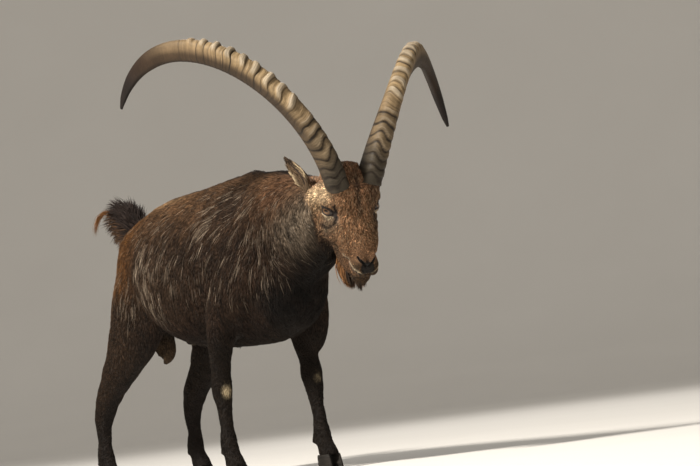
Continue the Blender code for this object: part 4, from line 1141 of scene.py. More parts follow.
@dataclass
class Skin:
    """One skin over the whole body, grown from the solids' flesh and drawn in by the coat's depth."""

    anatomy: Anatomy
    coat: Coat
    voxel: float = 0.0024
    weld: float = 0.00005
    body_share: float = 0.13
    brow_smoothing: int = 46
    body_smoothing: int = 30
    last_smoothing: int = 14
    eye_rings: Tuple[float, float] = (0.034, 0.024)
    lid_height: float = 0.0018
    tucked: float = 0.0040
    thing: Optional[bpy.types.Object] = None

    def build(self, nodes: Dict[str, bpy.types.Object]) -> bpy.types.Object:
        """Joins, melts, smooths and shapes the skin.

        Args:
            nodes: The frame's nodes by name.

        Returns:
            The skin.
        """
        deselect()
        copies = []
        for name in FLESH:
            copied = nodes[name].copy()
            copied.data = nodes[name].data.copy()
            copied.parent = None
            bpy.context.scene.collection.objects.link(copied)
            for key in list(copied.keys()):
                del copied[key]
            copies.append(copied)
        copies += [self.egg(lump, sign) for lump in LUMPS for sign in lump.sides]
        deselect()
        for copied in copies:
            copied.select_set(True)
        bpy.context.view_layer.objects.active = copies[0]
        bpy.ops.object.join()
        skin = bpy.context.view_layer.objects.active
        skin.name = "skin"
        skin.data.name = "skin"
        with editing():
            bpy.ops.mesh.remove_doubles(threshold=self.weld)
        apply_modifier(skin, "REMESH", mode="VOXEL", voxel_size=self.voxel)
        self.thing = skin
        self.soften()
        self.refine()
        self.shape()
        skin.data.polygons.foreach_set("use_smooth", np.ones(len(skin.data.polygons), bool))
        return skin

    def egg(self, lump: Lump, sign: int) -> bpy.types.Object:
        """Makes one lump of flesh.

        Args:
            lump: Its place, size and lean.
            sign: Its side, 1 for the left.

        Returns:
            The egg, to be joined into the skin.
        """
        bpy.ops.mesh.primitive_ico_sphere_add(subdivisions=4, radius=1.0, location=(0, 0, 0))
        egg = bpy.context.object
        lean = math.radians(lump.lean)
        local = vertices(egg) * np.array(lump.radii)
        forward = local[:, 0] * math.cos(lean) + local[:, 2] * math.sin(lean)
        upward = local[:, 2] * math.cos(lean) - local[:, 0] * math.sin(lean)
        rows = np.stack([forward, local[:, 1], upward], -1) + np.array(lump.place) * (1, sign, 1)
        set_vertices(egg, self.anatomy.from_head(rows) if lump.on_head else self.anatomy.places(rows))
        return egg

    def soften(self) -> None:
        """Smooths the skin, the body more than the head, and thins the body."""
        skin = self.thing
        points = vertices(skin)
        head = self.coat.on_head(points)
        self.grade("body", (1.0 - head) * 0.999, 8)
        self.grade("brow", head * ramp(self.coat.folded(points)[:, 0], 0.175, 0.135) * 0.999, 6)
        apply_modifier(skin, "SMOOTH", factor=0.5, iterations=self.last_smoothing)
        apply_modifier(skin, "SMOOTH", factor=0.5, iterations=self.brow_smoothing, vertex_group="brow")
        apply_modifier(skin, "SMOOTH", factor=0.5, iterations=self.body_smoothing, vertex_group="body")
        apply_modifier(skin, "DECIMATE", ratio=self.body_share, vertex_group="body")
        points = vertices(skin)
        a = self.anatomy.in_body(points)
        share = ramp(a[:, 2], 0.42, 0.52) * ramp(a[:, 0], -0.66, -0.60)
        self.grade("trunk", share * (1.0 - self.coat.on_head(points)), 6)
        apply_modifier(skin, "SMOOTH", factor=0.5, iterations=self.last_smoothing, vertex_group="trunk")

    def grade(self, name: str, share: Array, steps: int) -> None:
        """Makes a vertex group whose weights follow a share in even steps."""
        group = self.thing.vertex_groups.new(name=name)
        levels = np.round(share * steps).astype(int)
        for level in range(1, steps + 1):
            group.add(np.nonzero(levels == level)[0].tolist(), level / steps, "REPLACE")

    def refine(self) -> None:
        """Divides the faces round the eyes and on the muzzle."""
        skin = self.thing
        only(skin)
        points = vertices(skin)
        h = self.coat.folded(points)
        wide, narrow = self.eye_rings
        muzzle = (h[:, 0] > 0.172) & (h[:, 2] > -0.10) & (self.coat.on_head(points) > 0.5)
        self.divide((self.anatomy.from_eye(h) < wide) | muzzle)
        self.divide(self.anatomy.from_eye(self.coat.folded(vertices(skin))) < narrow)

    def divide(self, wanted: Array) -> None:
        """Divides the faces between the wanted vertices."""
        bpy.ops.object.mode_set(mode="EDIT")
        bpy.ops.mesh.select_mode(type="VERT")
        bpy.ops.mesh.select_all(action="DESELECT")
        bpy.ops.object.mode_set(mode="OBJECT")
        self.thing.data.vertices.foreach_set("select", wanted)
        bpy.ops.object.mode_set(mode="EDIT")
        bpy.ops.mesh.subdivide(number_cuts=1, smoothness=0.2)
        bpy.ops.mesh.quads_convert_to_tris()
        bpy.ops.object.mode_set(mode="OBJECT")

    def shape(self) -> None:
        """Draws the skin in by the coat's depth and works the face's small forms into it."""
        skin = self.thing
        points = vertices(skin)
        normal = normals(skin)
        h = self.coat.folded(points)
        head = self.coat.on_head(points)
        move = -self.coat.depth(points)
        self.coat.settle(points[head > 0.5])

        def near(name: str, width: float) -> Array:
            """A soft ridge along one of the face's lines."""
            return self.coat.ridge(name, points, width)

        move -= 0.0045 * near("mouth", 0.0021)
        move += 0.0018 * near("lip", 0.0048) + 0.0014 * near("under", 0.0050)
        move -= 0.0075 * near("nostril", 0.0030)
        move += 0.0030 * near("wing", 0.0044)
        move -= 0.0070 * blob(h, (0.262, 0.012, -0.040), (0.013, 0.026, 0.024))
        move -= 0.0035 * near("jaw", 0.0080)
        cleft = bell(h[:, 1], 0.0016)
        move -= 0.0018 * cleft * ramp(h[:, 0], 0.230, 0.240) * ramp(h[:, 2], -0.045, -0.032)
        move -= 0.0026 * near("tear", 0.0045) + 0.0026 * near("crease", 0.0034)
        throat = ramp(h[:, 2], -0.105, -0.135) * ramp(h[:, 0], 0.06, 0.10) * ramp(h[:, 0], 0.15, 0.13)
        move -= 0.0060 * throat * head
        move += 0.0009 * ripple(points, 0.050, 51) * (1.0 - head)
        worked = points + normal * move[:, None]
        self.coat.settle(worked[head > 0.5])
        set_vertices(skin, self.lids(worked))

    def lids(self, points: Array) -> Array:
        """Wraps the skin over each eyeball and opens the lids.

        Args:
            points: The skin's places.

        Returns:
            The places with both pairs of lids.
        """
        radius = self.anatomy.eye_radius
        for side in Side:
            share, high, _ = self.anatomy.opening(points)
            _, _, facing, distance = self.anatomy.round_eye(points, side)
            near = distance < self.anatomy.eye_reach
            lid = radius + self.lid_height + 0.0008 * bell(share - 1.7, 0.45)
            lid = lid + 0.0036 * bell(share - 2.5, 0.75) * ramp(high, 0.001, 0.006)
            lid = lid - 0.0014 * bell(share - 2.45, 0.16) * ramp(high, 0.0, 0.004)
            wanted = lid + (radius - self.tucked - lid) * ramp(share, 1.06, 0.92)
            held = ramp(distance, 0.0305, 0.0235) * ramp(facing, 0.10, 0.35) * near
            grown = distance + (wanted - distance) * held
            centre = self.anatomy.eye_centre(side)
            points = centre + (points - centre) * (grown / distance)[:, None]
        return points

    def dressed(self) -> None:
        """Paints the skin with the coat's markings, darker, since it lies in the coat's shade."""
        points = vertices(self.thing)
        normal = normals(self.thing)
        bare = self.coat.bare(points)
        colours = self.coat.marking(points, normal) * (0.55 + 0.45 * bare)[:, None]
        a = self.anatomy.in_body(points)
        dewclaws = np.zeros(len(a))
        for forward, left in DEWCLAWS:
            for toe in (-0.014, 0.014):
                dewclaws += blob(a, (forward, left + toe, 0.080), (0.012, 0.010, 0.013))
        colours = blend(colours, (0.016, 0.013, 0.011), ramp(dewclaws, 0.45, 0.75))
        paint(self.thing, "marking", colours)
        moist = ramp(self.coat.off("nostril", points), 0.006, 0.003)
        moist = np.maximum(moist, ramp(self.coat.off("mouth", points), 0.004, 0.002))
        moist = np.maximum(moist, 0.3 * ramp(self.anatomy.opening(points)[0], 1.5, 1.2))
        paint(self.thing, "moist", moist)
        dress(self.thing, SkinFinish().material())


# Tufts


def search_tree(places: Any) -> KDTree:
    """A quick way to find the nearest of many places."""
    tree = KDTree(len(places))
    for n, place in enumerate(places):
        tree.insert(place, n)
    tree.balance()
    return tree


@dataclass
class Ground:
    """A surface that hair grows on, with a quick way to find its nearest place."""

    points: Array
    normal: Array
    corners: Array
    tree: KDTree = field(init=False)

    def __post_init__(self) -> None:
        """Builds the search tree."""
        self.tree = search_tree(self.points)

    @classmethod
    def of(cls, thing: bpy.types.Object) -> "Ground":
        """The ground that an object's mesh gives."""
        return cls(vertices(thing), normals(thing), triangles(thing))

    def middles(self) -> Array:
        """The middle of each triangle."""
        return self.points[self.corners].mean(1)

    def scatter(self, count: int, weight: Array, rng: np.random.Generator) -> Tuple[Array, Array]:
        """Picks places on the ground.

        Args:
            count: How many.
            weight: Each triangle's wish for hair per area.
            rng: The source of chance.

        Returns:
            The places and their normals.
        """
        a, b, c = (self.points[self.corners[:, i]] for i in range(3))
        area = 0.5 * np.linalg.norm(np.cross(b - a, c - a), axis=1) * weight
        total = np.cumsum(area)
        picks = (np.arange(count) + rng.random(count)) / count * total[-1]
        tri = np.minimum(np.searchsorted(total, picks), len(area) - 1)
        s, t = rng.random(count), rng.random(count)
        flip = s + t > 1.0
        s[flip], t[flip] = 1.0 - s[flip], 1.0 - t[flip]
        mix = np.stack([1.0 - s - t, s, t], -1)
        picked = self.corners[tri]
        place = sum(self.points[picked[:, i]] * mix[:, i : i + 1] for i in range(3))
        normal = sum(self.normal[picked[:, i]] * mix[:, i : i + 1] for i in range(3))
        return place, unit(normal)

    def nearest(self, places: Array) -> Array:
        """The nearest vertex to each place."""
        find = self.tree.find
        return np.array([find(place)[1] for place in places.tolist()], int)

    def follow(self, places: Array, height: Array) -> Tuple[Array, Array]:
        """Moves places to a height above the ground below them.

        Args:
            places: Where the hair would be if it went straight.
            height: How high it stands off there.

        Returns:
            The new places, and the ground's normals below them.
        """
        index = self.nearest(places)
        normal = self.normal[index]
        above = ((places - self.points[index]) * normal).sum(1)
        return places + normal * (height - above)[:, None], normal


# how wide a tuft is at each of its joints, by its count of steps
TAPER = {1: (1.0,), 3: (1.0, 0.85, 0.5)}
# the three edges of a tuft: how far aside, how far up, and its place across the strand's map
TUFT_EDGES = ((-1.0, -0.4, 0.0), (1.0, -0.4, 1.0), (0.0, 1.0, 0.5))
BAKE_PATCH = 0.003


@dataclass
class Tufts:
    """Many tapered tufts that lie along a ground, each a closed solid."""

    name: str
    ground: Ground
    coat: Coat
    steps: int = 1
    sunk: float = 0.0025
    led_by: float = 0.06

    def grow(
        self,
        roots: Array,
        normal: Array,
        way: Array,
        length: Array,
        width: Array,
        rise: Array,
        colour: Array,
        rng: np.random.Generator,
        clump: float = 0.0,
        clump_size: float = 0.014,
        follow: bool = True,
        droop: Optional[Array] = None,
    ) -> bpy.types.Object:
        """Grows one piece of the coat.

        Args:
            roots: Where the tufts start.
            normal: The ground's normals there.
            way: The way each tuft points.
            length: How long each is.
            width: How wide each is.
            rise: How high its tip stands, as a share of its length.
            colour: Its colour at the root.
            rng: The source of chance.
            clump: How far the tips of neighbours draw together, 0 to 1.
            clump_size: How far apart the clumps are.
            follow: Whether the tufts hug the ground.
            droop: A bend added to the way at each step, if any.

        Returns:
            The piece.
        """
        count = len(roots)
        joints = self.steps + 1
        centres = []
        ups = []
        here = roots.copy()
        heading = way.copy()
        up = normal.copy()
        for step in range(joints):
            share = (step + 1) / joints
            ahead = here + heading * (length / joints)[:, None]
            height = rise * length * (share**0.8)
            if follow:
                ahead, up = self.ground.follow(ahead, height)
                heading = unit(ahead - here)
            elif droop is not None:
                heading = unit(heading + droop / joints)
            centres.append(ahead)
            ups.append(up)
            here = ahead
        if clump > 0.0:
            leaders = rng.choice(count, max(4, int(count * self.led_by)), replace=False)
            tree = search_tree(roots[leaders])
            chosen = leaders[np.array([tree.find(p)[1] for p in roots.tolist()], int)]
            apart = np.linalg.norm(roots - roots[chosen], axis=1)
            pull = clump * ramp(apart, clump_size * 1.6, clump_size * 0.5)
            for step in range(joints):
                share = (step + 1) / joints
                toward = centres[step][chosen] - centres[step]
                centres[step] = centres[step] + toward * (pull * share**1.3)[:, None]
        places = [roots - normal * self.sunk - way * (length * 0.08)[:, None]]
        along = [np.zeros(count)]
        across = [np.full(count, 0.5)]
        before = roots
        for step, taper in enumerate(TAPER[self.steps]):
            centre = centres[step]
            ahead = unit(centres[step + 1] - before)
            side = unit(np.cross(ups[step], ahead))
            half = (width * 0.5 * taper)[:, None]
            thick = half * 0.55
            top = unit(np.cross(ahead, side))
            for sideways, upward, strand in TUFT_EDGES:
                places.append(centre + side * half * sideways + top * thick * upward)
                along.append(np.full(count, (step + 1) / joints * 0.9))
                across.append(np.full(count, strand))
            before = centre
        places.append(centres[-1])
        along.append(np.ones(count))
        across.append(np.full(count, 0.5))
        size = len(places)
        points = np.stack(places, 1).reshape(-1, 3)
        faces = [(0, 2, 1), (0, 3, 2), (0, 1, 3)]
        for step in range(self.steps - 1):
            low, high = 1 + 3 * step, 4 + 3 * step
            for k in range(3):
                n = (k + 1) % 3
                faces += [(low + k, low + n, high + n), (low + k, high + n, high + k)]
        last = 1 + 3 * (self.steps - 1)
        faces += [(last, last + 1, size - 1), (last + 1, last + 2, size - 1), (last + 2, last, size - 1)]
        index = (np.array(faces)[None] + (np.arange(count) * size)[:, None, None]).reshape(-1, 3)
        thing = make_mesh(self.name, points, index)
        flat_along = np.stack(along, 1).ravel()
        flat_across = np.stack(across, 1).ravel()
        paint(thing, "marking", np.repeat(colour, size, axis=0))
        paint(thing, "along", flat_along)
        seed = np.repeat(rng.random(count) * 50.0, size)
        patch = np.repeat(self.coat.unwrap(roots), size, axis=0)
        patch = patch + BAKE_PATCH * (np.stack([flat_across, flat_along], -1) - 0.5)
        give_uv(thing, "OFBake", patch)
        give_uv(thing, "Strand", np.stack([flat_across * 0.5 + seed, flat_along + seed * 3.0], -1))
        return thing


@dataclass
class Pelt:
    """All the hair: the coat on the skin, the long hairs painted pale as highlights, and the tail's and the
    beard's locks.
    """

    anatomy: Anatomy
    coat: Coat
    ground: Ground
    tufts: int = 208000
    pieces: int = 8
    guard_hairs: int = 2300
    sheen_streak_colour: Colour = (0.215, 0.168, 0.124)
    guard_sheen_colour: Colour = (0.25, 0.197, 0.147)
    seed: int = 7

    def density(self, points: Array) -> Array:
        """How many tufts a place wants, for the same area."""
        a = self.anatomy.in_body(points)
        head = self.coat.on_head(points)
        body = 1.0 + 0.9 * ramp(a[:, 2], 0.40, 0.28) + 0.15 * ramp(a[:, 0], 0.05, 0.15)
        wish = body * (1.0 - head) + 4.4 * head
        return wish * (1.0 - self.coat.bare(points)) * (a[:, 2] > 0.041)

    def build(self, material: bpy.types.Material) -> List[bpy.types.Object]:
        """Grows every piece of the coat.

        Args:
            material: The hair's finish.

        Returns:
            The pieces.
        """
        rng = np.random.default_rng(self.seed)
        roots, normal = self.ground.scatter(self.tufts, self.density(self.ground.middles()), rng)
        forward = self.anatomy.in_body(roots)[:, 0]
        order = np.argsort(forward + 10.0 * (self.coat.on_head(roots) > 0.5), kind="stable")
        made = []
        for n, chunk in enumerate(np.array_split(order, self.pieces)):
            made.append(self.patch("coat_%d" % (n + 1), roots[chunk], normal[chunk], rng))
        made.append(self.guard(rng))
        for piece in made:
            dress(piece, material)
        return made

    def patch(self, name: str, roots: Array, normal: Array, rng: np.random.Generator) -> bpy.types.Object:
        """Grows the short coat over one stretch of the skin."""
        count = len(roots)
        head = self.coat.on_head(roots)
        length = self.coat.length(roots) * rng.uniform(0.75, 1.25, count)
        width = 0.0027 - 0.0013 * head
        a = self.anatomy.in_body(roots)
        width = width - 0.0008 * ramp(a[:, 2], 0.42, 0.30) * (1.0 - head)
        width = width * rng.uniform(0.75, 1.25, count)
        # painted highlights: some tufts in lines are pale and narrow
        pale = rng.random(count) < self.coat.streaks(roots)
        width = width * (1.0 - 0.52 * pale)
        way = self.coat.lie(roots, normal)
        side = np.cross(normal, way)
        way = unit(way + side * (rng.normal(0.0, 1.0, count) * (0.08 + 0.20 * head))[:, None])
        rise = (0.115 + 0.12 * head) * rng.uniform(0.5, 1.5, count)
        poll = blob(self.coat.folded(roots), (-0.045, 0.0, -0.030), (0.030, 0.030, 0.040)) * head
        rise = rise + 0.18 * poll
        colour = self.coat.marking(roots, normal)
        tone = rng.normal(0.0, 1.0, count) * (0.30 + 0.24 * head) + 0.10 * ripple(roots, 0.012, 61)
        colour = colour * np.exp(tone - 0.04)[:, None]
        # the pale tufts take a painted highlight's colour
        light = np.array(self.sheen_streak_colour) * varied(rng, 0.40, count)
        colour = colour + (light - colour) * (0.85 * pale)[:, None]
        dark = np.clip(-self.streak_shade(roots), 0.0, 1.0)
        colour = colour * (1.0 - 0.45 * dark)[:, None]
        grey = (rng.random(count) < 0.16) * head * ramp(self.coat.folded(roots)[:, 0], 0.20, 0.16)
        colour = blend(colour, (0.40, 0.30, 0.19), 0.60 * grey * ramp(colour.mean(1), 0.030, 0.070))
        flat = Tufts(name, self.ground, self.coat, 1)
        return flat.grow(roots, normal, way, length, width, rise, colour, rng, 0.24, 0.012)

    def streak_shade(self, points: Array) -> Array:
        """Darker partings between the locks of the body, as negative numbers."""
        a = self.anatomy.in_body(points)
        across = np.stack([a[:, 0], a[:, 1] * 0.3, a[:, 2] * 0.15], -1)
        return ripple(across, 0.014, 24, 7) * ramp(a[:, 2], 0.40, 0.46) * (1.0 - self.coat.on_head(points))

    def guard(self, rng: np.random.Generator) -> bpy.types.Object:
        """Grows the long hairs of the flank, the shoulder and the neck, painted pale as highlights."""
        middles = self.ground.middles()
        streaks = self.coat.streaks(middles)
        weight = (0.02 + streaks) * (streaks > 0.004) * (1.0 - self.coat.on_head(middles))
        roots, normal = self.ground.scatter(self.guard_hairs, weight, rng)
        count = len(roots)
        length = rng.uniform(0.034, 0.064, count)
        width = rng.uniform(0.0008, 0.0014, count)
        way = self.coat.lie(roots, normal)
        side = np.cross(normal, way)
        way = unit(way + side * rng.normal(0.0, 0.05, count)[:, None])
        rise = rng.uniform(0.08, 0.13, count)
        # painted highlights on the long hairs
        pale = np.array(self.guard_sheen_colour) * varied(rng, 0.40, count)
        below = self.coat.marking(roots, normal)
        colour = below + (pale - below) * rng.uniform(0.15, 1.0, count)[:, None]
        long_hair = Tufts("guard_hairs", self.ground, self.coat, 3)
        return long_hair.grow(roots, normal, way, length, width, rise, colour, rng, 0.12, 0.010)


# Horns


@dataclass(frozen=True)
class Sweep:
    """How one horn curves: its rise at the root and by how much it turns, in degrees."""

    start: float
    turn: float
    power: float = 1.263
    shorter: float = 0.0


SWEEPS = {Side.RIGHT: Sweep(113.4, -60.7 - 113.4), Side.LEFT: Sweep(107.1, -94.1 - 107.1, shorter=-0.079)}


@dataclass
class Horn:
    """One horn: a long curved core with growth waves, knobs on its front and a smooth tip."""

    anatomy: Anatomy
    side: Side
    length: float = 0.884
    half_spacing: float = 0.048
    depth: float = 0.084
    width: float = 0.060
    spread: Tuple[float, float, float] = (17.3, 84.9, 93.3)
    girth: Line = (
        (0.00, 1.080, 1.040),
        (0.10, 1.040, 1.000),
        (0.25, 0.920, 0.920),
        (0.45, 0.795, 0.800),
        (0.65, 0.690, 0.670),
        (0.80, 0.600, 0.540),
        (0.90, 0.460, 0.400),
        (0.97, 0.280, 0.240),
        (1.00, 0.110, 0.110),
    )
    waves: Tuple[float, ...] = (0.018, 0.044, 0.073, 0.104, 0.138, 0.170, 0.204)
    knobs: Tuple[float, ...] = (0.268, 0.310, 0.356, 0.404, 0.446, 0.492, 0.540, 0.582, 0.625)
    knob_sizes: Tuple[float, ...] = (0.80, 0.85, 1.05, 0.95, 0.9, 1.05, 0.95, 0.75, 0.50)
    stations: int = 620
    points: int = 56

    def path(self, shares: Array) -> Tuple[Array, Array, Array, Array]:
        """Places, directions, fronts and outer sides along the horn.

        Args:
            shares: Shares of the length.

        Returns:
            Four arrays of rows.
        """
        sweep = SWEEPS[self.side]
        fine = 400
        s = np.arange(fine + 1) / fine
        rise = np.radians(sweep.start + sweep.turn * s**sweep.power)
        at_root, outwards, back_in = self.spread
        spread = np.radians(at_root + outwards * s - back_in * s * s)
        sign = self.side.value
        flat = np.cos(spread)
        rows = np.stack([-flat * np.cos(rise), sign * np.sin(spread), flat * np.sin(rise)], -1)
        ahead = self.anatomy.ways(rows) @ self.anatomy.level.T
        step = (ahead[1:] + ahead[:-1]) * 0.5 * (self.length + sweep.shorter) / fine
        seat = self.anatomy.ways([0.0, sign * self.half_spacing, 0.0]) @ self.anatomy.level.T
        place = self.anatomy.places(self.anatomy.head_place) + seat
        place = place + np.concatenate([np.zeros((1, 3)), np.cumsum(step, 0)])
        sideways = self.anatomy.ways([0.0, sign, 0.0]) @ self.anatomy.level.T
        out = unit(sideways - ahead * (ahead @ sideways)[:, None])
        front = np.cross(out, ahead) * sign
        found = []
        for rows in (place, ahead, front, out):
            found.append(np.stack([np.interp(shares, s, rows[:, k]) for k in range(3)], -1))
        return found[0], unit(found[1]), unit(found[2]), unit(found[3])

    def build(self) -> bpy.types.Object:
        """Builds the horn with its colours."""
        s = np.linspace(0.0, 1.0, self.stations)
        place, ahead, front, out = self.path(s)
        # the first rings run on into the head
        sunk = np.maximum(0, 6 - np.arange(self.stations)) * 0.0024
        place = place - ahead * sunk[:, None]
        shares = [row[0] for row in self.girth]
        deep = self.depth / 2 * np.interp(s, shares, [row[1] for row in self.girth])
        wide = self.width / 2 * np.interp(s, shares, [row[2] for row in self.girth])
        angle = 2 * math.pi * np.arange(self.points) / self.points
        x, y = squarish(np.cos(angle), 2 / 2.7), squarish(np.sin(angle), 2 / 2.7)
        facing = np.maximum(0.0, y) ** 2.3
        grid_s = s[:, None] + 0.0 * x[None]
        # growth lines bow down at the middle of the front and wander a little
        sway = 0.010 * (x[None] * 0.6) + 0.004 * np.sin(3.0 * angle[None] + 40.0 * grid_s)
        sway = sway - 0.006 * facing[None]
        sway = sway + 0.007 * np.sin(x[None] * 4.2 + 0.6) * ramp(grid_s, 0.30, 0.05)
        line = grid_s + sway * ramp(grid_s, 0.75, 0.30)
        lift, groove = self.relief(line, x, y)
        fine = 0.00035 * np.sin(line * 2 * math.pi * 190)
        fine = fine + 0.0003 * np.sin(line * 2 * math.pi * 83 + 2.0 * x[None])
        fine = fine * ramp(grid_s, 0.80, 0.55)
        lift = lift * facing[None] + fine - groove * 0.0016 * (0.45 + 0.55 * facing[None])
        narrowing = 1.0 - 0.26 * (0.5 - 0.5 * y) ** 1.2
        across = x[None] * narrowing[None] * (wide[:, None] + 0.35 * lift)
        outward = y[None] * deep[:, None] + lift
        rings = place[:, None] + out[:, None] * across[..., None] + front[:, None] * outward[..., None]
        horn = loft("horn_piece_" + self.side.word, rings)
        aside = out[:, None] * (x[None] / wide[:, None])[..., None]
        faces = unit(aside + front[:, None] * (y[None] / deep[:, None])[..., None])
        # faces turned downwards, which are painted in shade
        under = ramp(faces @ np.array([0.10 * self.side.value, 0.45, -0.85]), -0.05, 0.45).ravel()
        colours = self.colours(line, grid_s, x, y, lift, groove, under)
        paint(horn, "marking", np.concatenate([colours, colours[:1], colours[-1:]]))
        turn = np.abs(((angle / (2 * math.pi) + 0.25) % 1.0) - 0.5) * 2.0
        flat = np.stack([np.tile(turn, len(s)), np.repeat(s, self.points)], -1)
        give_uv(horn, "Growth", np.concatenate([flat, flat[:1], flat[-1:]]))
        dress(horn, HornFinish("horn_" + self.side.word).material())
        return horn

    def relief(self, line: Array, x: Array, y: Array) -> Tuple[Array, Array]:
        """How high waves and knobs stand, and how deep the dark grooves between them are."""
        lift = np.zeros_like(line)
        groove = np.zeros_like(line)
        for centre in self.waves:
            lift += 0.0042 * bell(line - centre, 0.010)
            groove += 1.3 * bell(line - centre + 0.012, 0.0036)
        for centre, size in zip(self.knobs, self.knob_sizes):
            d = (line - centre) / 0.0098
            shape = np.exp(-np.abs(np.where(d > 0, d * 1.15, d * 0.85)) ** 3.2)
            lift += 0.0095 * size * shape * (1.0 - 0.10 * x[None] ** 2)
            groove += 0.9 * size * bell(line - centre + 0.0125, 0.0022)
            groove += 0.5 * size * bell(line - centre - 0.0125, 0.0020)
        for n in range(84):
            centre = 0.006 + 0.0079 * n + 0.003 * math.sin(n * 2.4)
            strong = (0.38 + 0.30 * math.sin(n * 1.7)) * (1.0 - 0.35 * np.clip(y, 0.0, 1.0))
            groove += strong[None] * bell(line - centre, 0.0013)
        return lift, np.clip(groove, 0.0, 1.2)

    def colours(
        self, line: Array, s: Array, x: Array, y: Array, lift: Array, groove: Array, under: Array
    ) -> Array:
        """The horn's colours at each vertex, with painted shade on its underside, its back and towards its
        tip.
        """
        count = s.size
        share = s.ravel()
        facing = np.tile(np.maximum(0.0, y) ** 0.8, len(s))
        behind = np.tile(np.maximum(0.0, -y), len(s))
        c = even((0.160, 0.108, 0.060), count)
        c = blend(c, (0.25, 0.178, 0.096), 0.8 * facing * ramp(share, 0.15, 0.30))
        c = blend(c, (0.130, 0.095, 0.056), 0.8 * ramp(share, 0.26, 0.16) * (0.4 + 0.6 * facing))
        crest = 0.85 * ramp(lift.ravel(), 0.0020, 0.0060) * ramp(share, 0.02, 0.24)
        c = blend(c, (0.285, 0.235, 0.170), crest)
        # painted shade: the horn's lower half, its faces turned down and its back are darkened
        lower = np.maximum(np.tile(ramp(y, 0.50, -0.30), len(s)), under)
        c = blend(c, (0.036, 0.023, 0.013), (0.55 + 0.40 * ramp(share, 0.06, 0.30)) * lower)
        c = blend(c, (0.040, 0.025, 0.014), 0.85 * ramp(behind, 0.10, 0.65))
        c = blend(c, (0.028, 0.018, 0.011), 0.8 * ramp(behind, 0.65, 1.0))
        # painted shade: the horn goes darker past its middle and near black at the tip
        c = blend(c, (0.110, 0.076, 0.044), 0.8 * ramp(share, 0.56, 0.68) * (1.0 - lower))
        c = blend(c, (0.024, 0.014, 0.008), ramp(share, 0.67, 0.82))
        c = blend(c, (0.009, 0.006, 0.005), ramp(share, 0.80, 0.92))
        base = ramp(share + 0.02 * np.tile(x, len(s)), 0.130, 0.040)
        c = blend(c, (0.040, 0.032, 0.022), base)
        c = blend(c, (0.016, 0.011, 0.007), 0.94 * np.clip(groove.ravel(), 0, 1) * ramp(share, 0.80, 0.62))
        wander = np.sin(share * 71.0 + 2.0 * np.tile(x, len(s))) * 0.09 + np.sin(share * 23.0) * 0.07
        return np.clip(c * (1.0 + wander)[:, None], 0.004, 0.9)


# Eyes and lids


# the section of a lid's rim: the share of the opening, and the height over the eyeball
RIM_SECTION = (
    (0.90, -0.0012),
    (0.93, 0.0003),
    (0.97, 0.0011),
    (1.03, 0.0019),
    (1.11, 0.0023),
    (1.20, 0.0022),
    (1.29, 0.0016),
    (1.35, 0.0003),
    (1.24, -0.0010),
    (1.05, -0.0020),
)


@dataclass
class Eye:
    """An eyeball with its cornea, and the rims of its lids."""

    anatomy: Anatomy
    side: Side

    def ball(self) -> bpy.types.Object:
        """Builds the eyeball, bulging at the cornea."""
        centre = self.anatomy.eye_centre(self.side)
        out, slit, upright = self.anatomy.eye_ways(self.side)
        deselect()
        radius = self.anatomy.eye_radius
        bpy.ops.mesh.primitive_uv_sphere_add(segments=64, ring_count=40, radius=radius, location=(0, 0, 0))
        ball = bpy.context.object
        ball.name = "eyeball_" + self.side.word
        local = vertices(ball)
        high = local[:, 2] / radius
        bulge = 1.0 + 0.055 * ramp(high, 0.72, 0.98)
        local = local * bulge[:, None]
        axes = np.array([slit, np.cross(out, slit), out])
        set_vertices(ball, local @ axes + centre)
        only(ball)
        bpy.ops.object.shade_smooth()
        finish = EyeFinish("eye_" + self.side.word, tuple(centre), tuple(out), tuple(slit), tuple(upright))
        dress(ball, finish.material())
        return ball

    def rim(self) -> bpy.types.Object:
        """Builds the rims of both lids as one soft ring on the eyeball."""
        centre = self.anatomy.eye_centre(self.side)
        out, slit, upright = self.anatomy.eye_ways(self.side)
        length, upper, lower = self.anatomy.lid_sizes
        angle = np.linspace(0.0, 2 * math.pi, 84, endpoint=False)
        radius = self.anatomy.eye_radius
        rings = []
        for grow, reach in RIM_SECTION:
            x = np.cos(angle) * length * grow
            narrow = np.sqrt(np.maximum(1.0 - 0.35 * np.cos(angle) ** 2, 0.3))
            y = np.sin(angle) * np.where(np.sin(angle) > 0, upper, lower) * grow * narrow
            lift = 0.0009 * np.maximum(0.0, np.sin(angle)) * (reach > 0.001)
            flat = np.sqrt(np.maximum(radius**2 - x * x - y * y, (radius * 0.30) ** 2))
            rows = slit * x[:, None] + upright * y[:, None] + out * flat[:, None]
            rings.append(centre + unit(rows) * (radius + reach + lift)[:, None])
        rings.append(rings[0])
        rim = loft("lids_" + self.side.word, np.array(rings), caps=False)
        only(rim)
        with editing():
            bpy.ops.mesh.remove_doubles(threshold=0.00001)
            bpy.ops.mesh.normals_make_consistent(inside=False)
        dress(rim, LidFinish("lid_" + self.side.word).material())
        return rim


# Ears


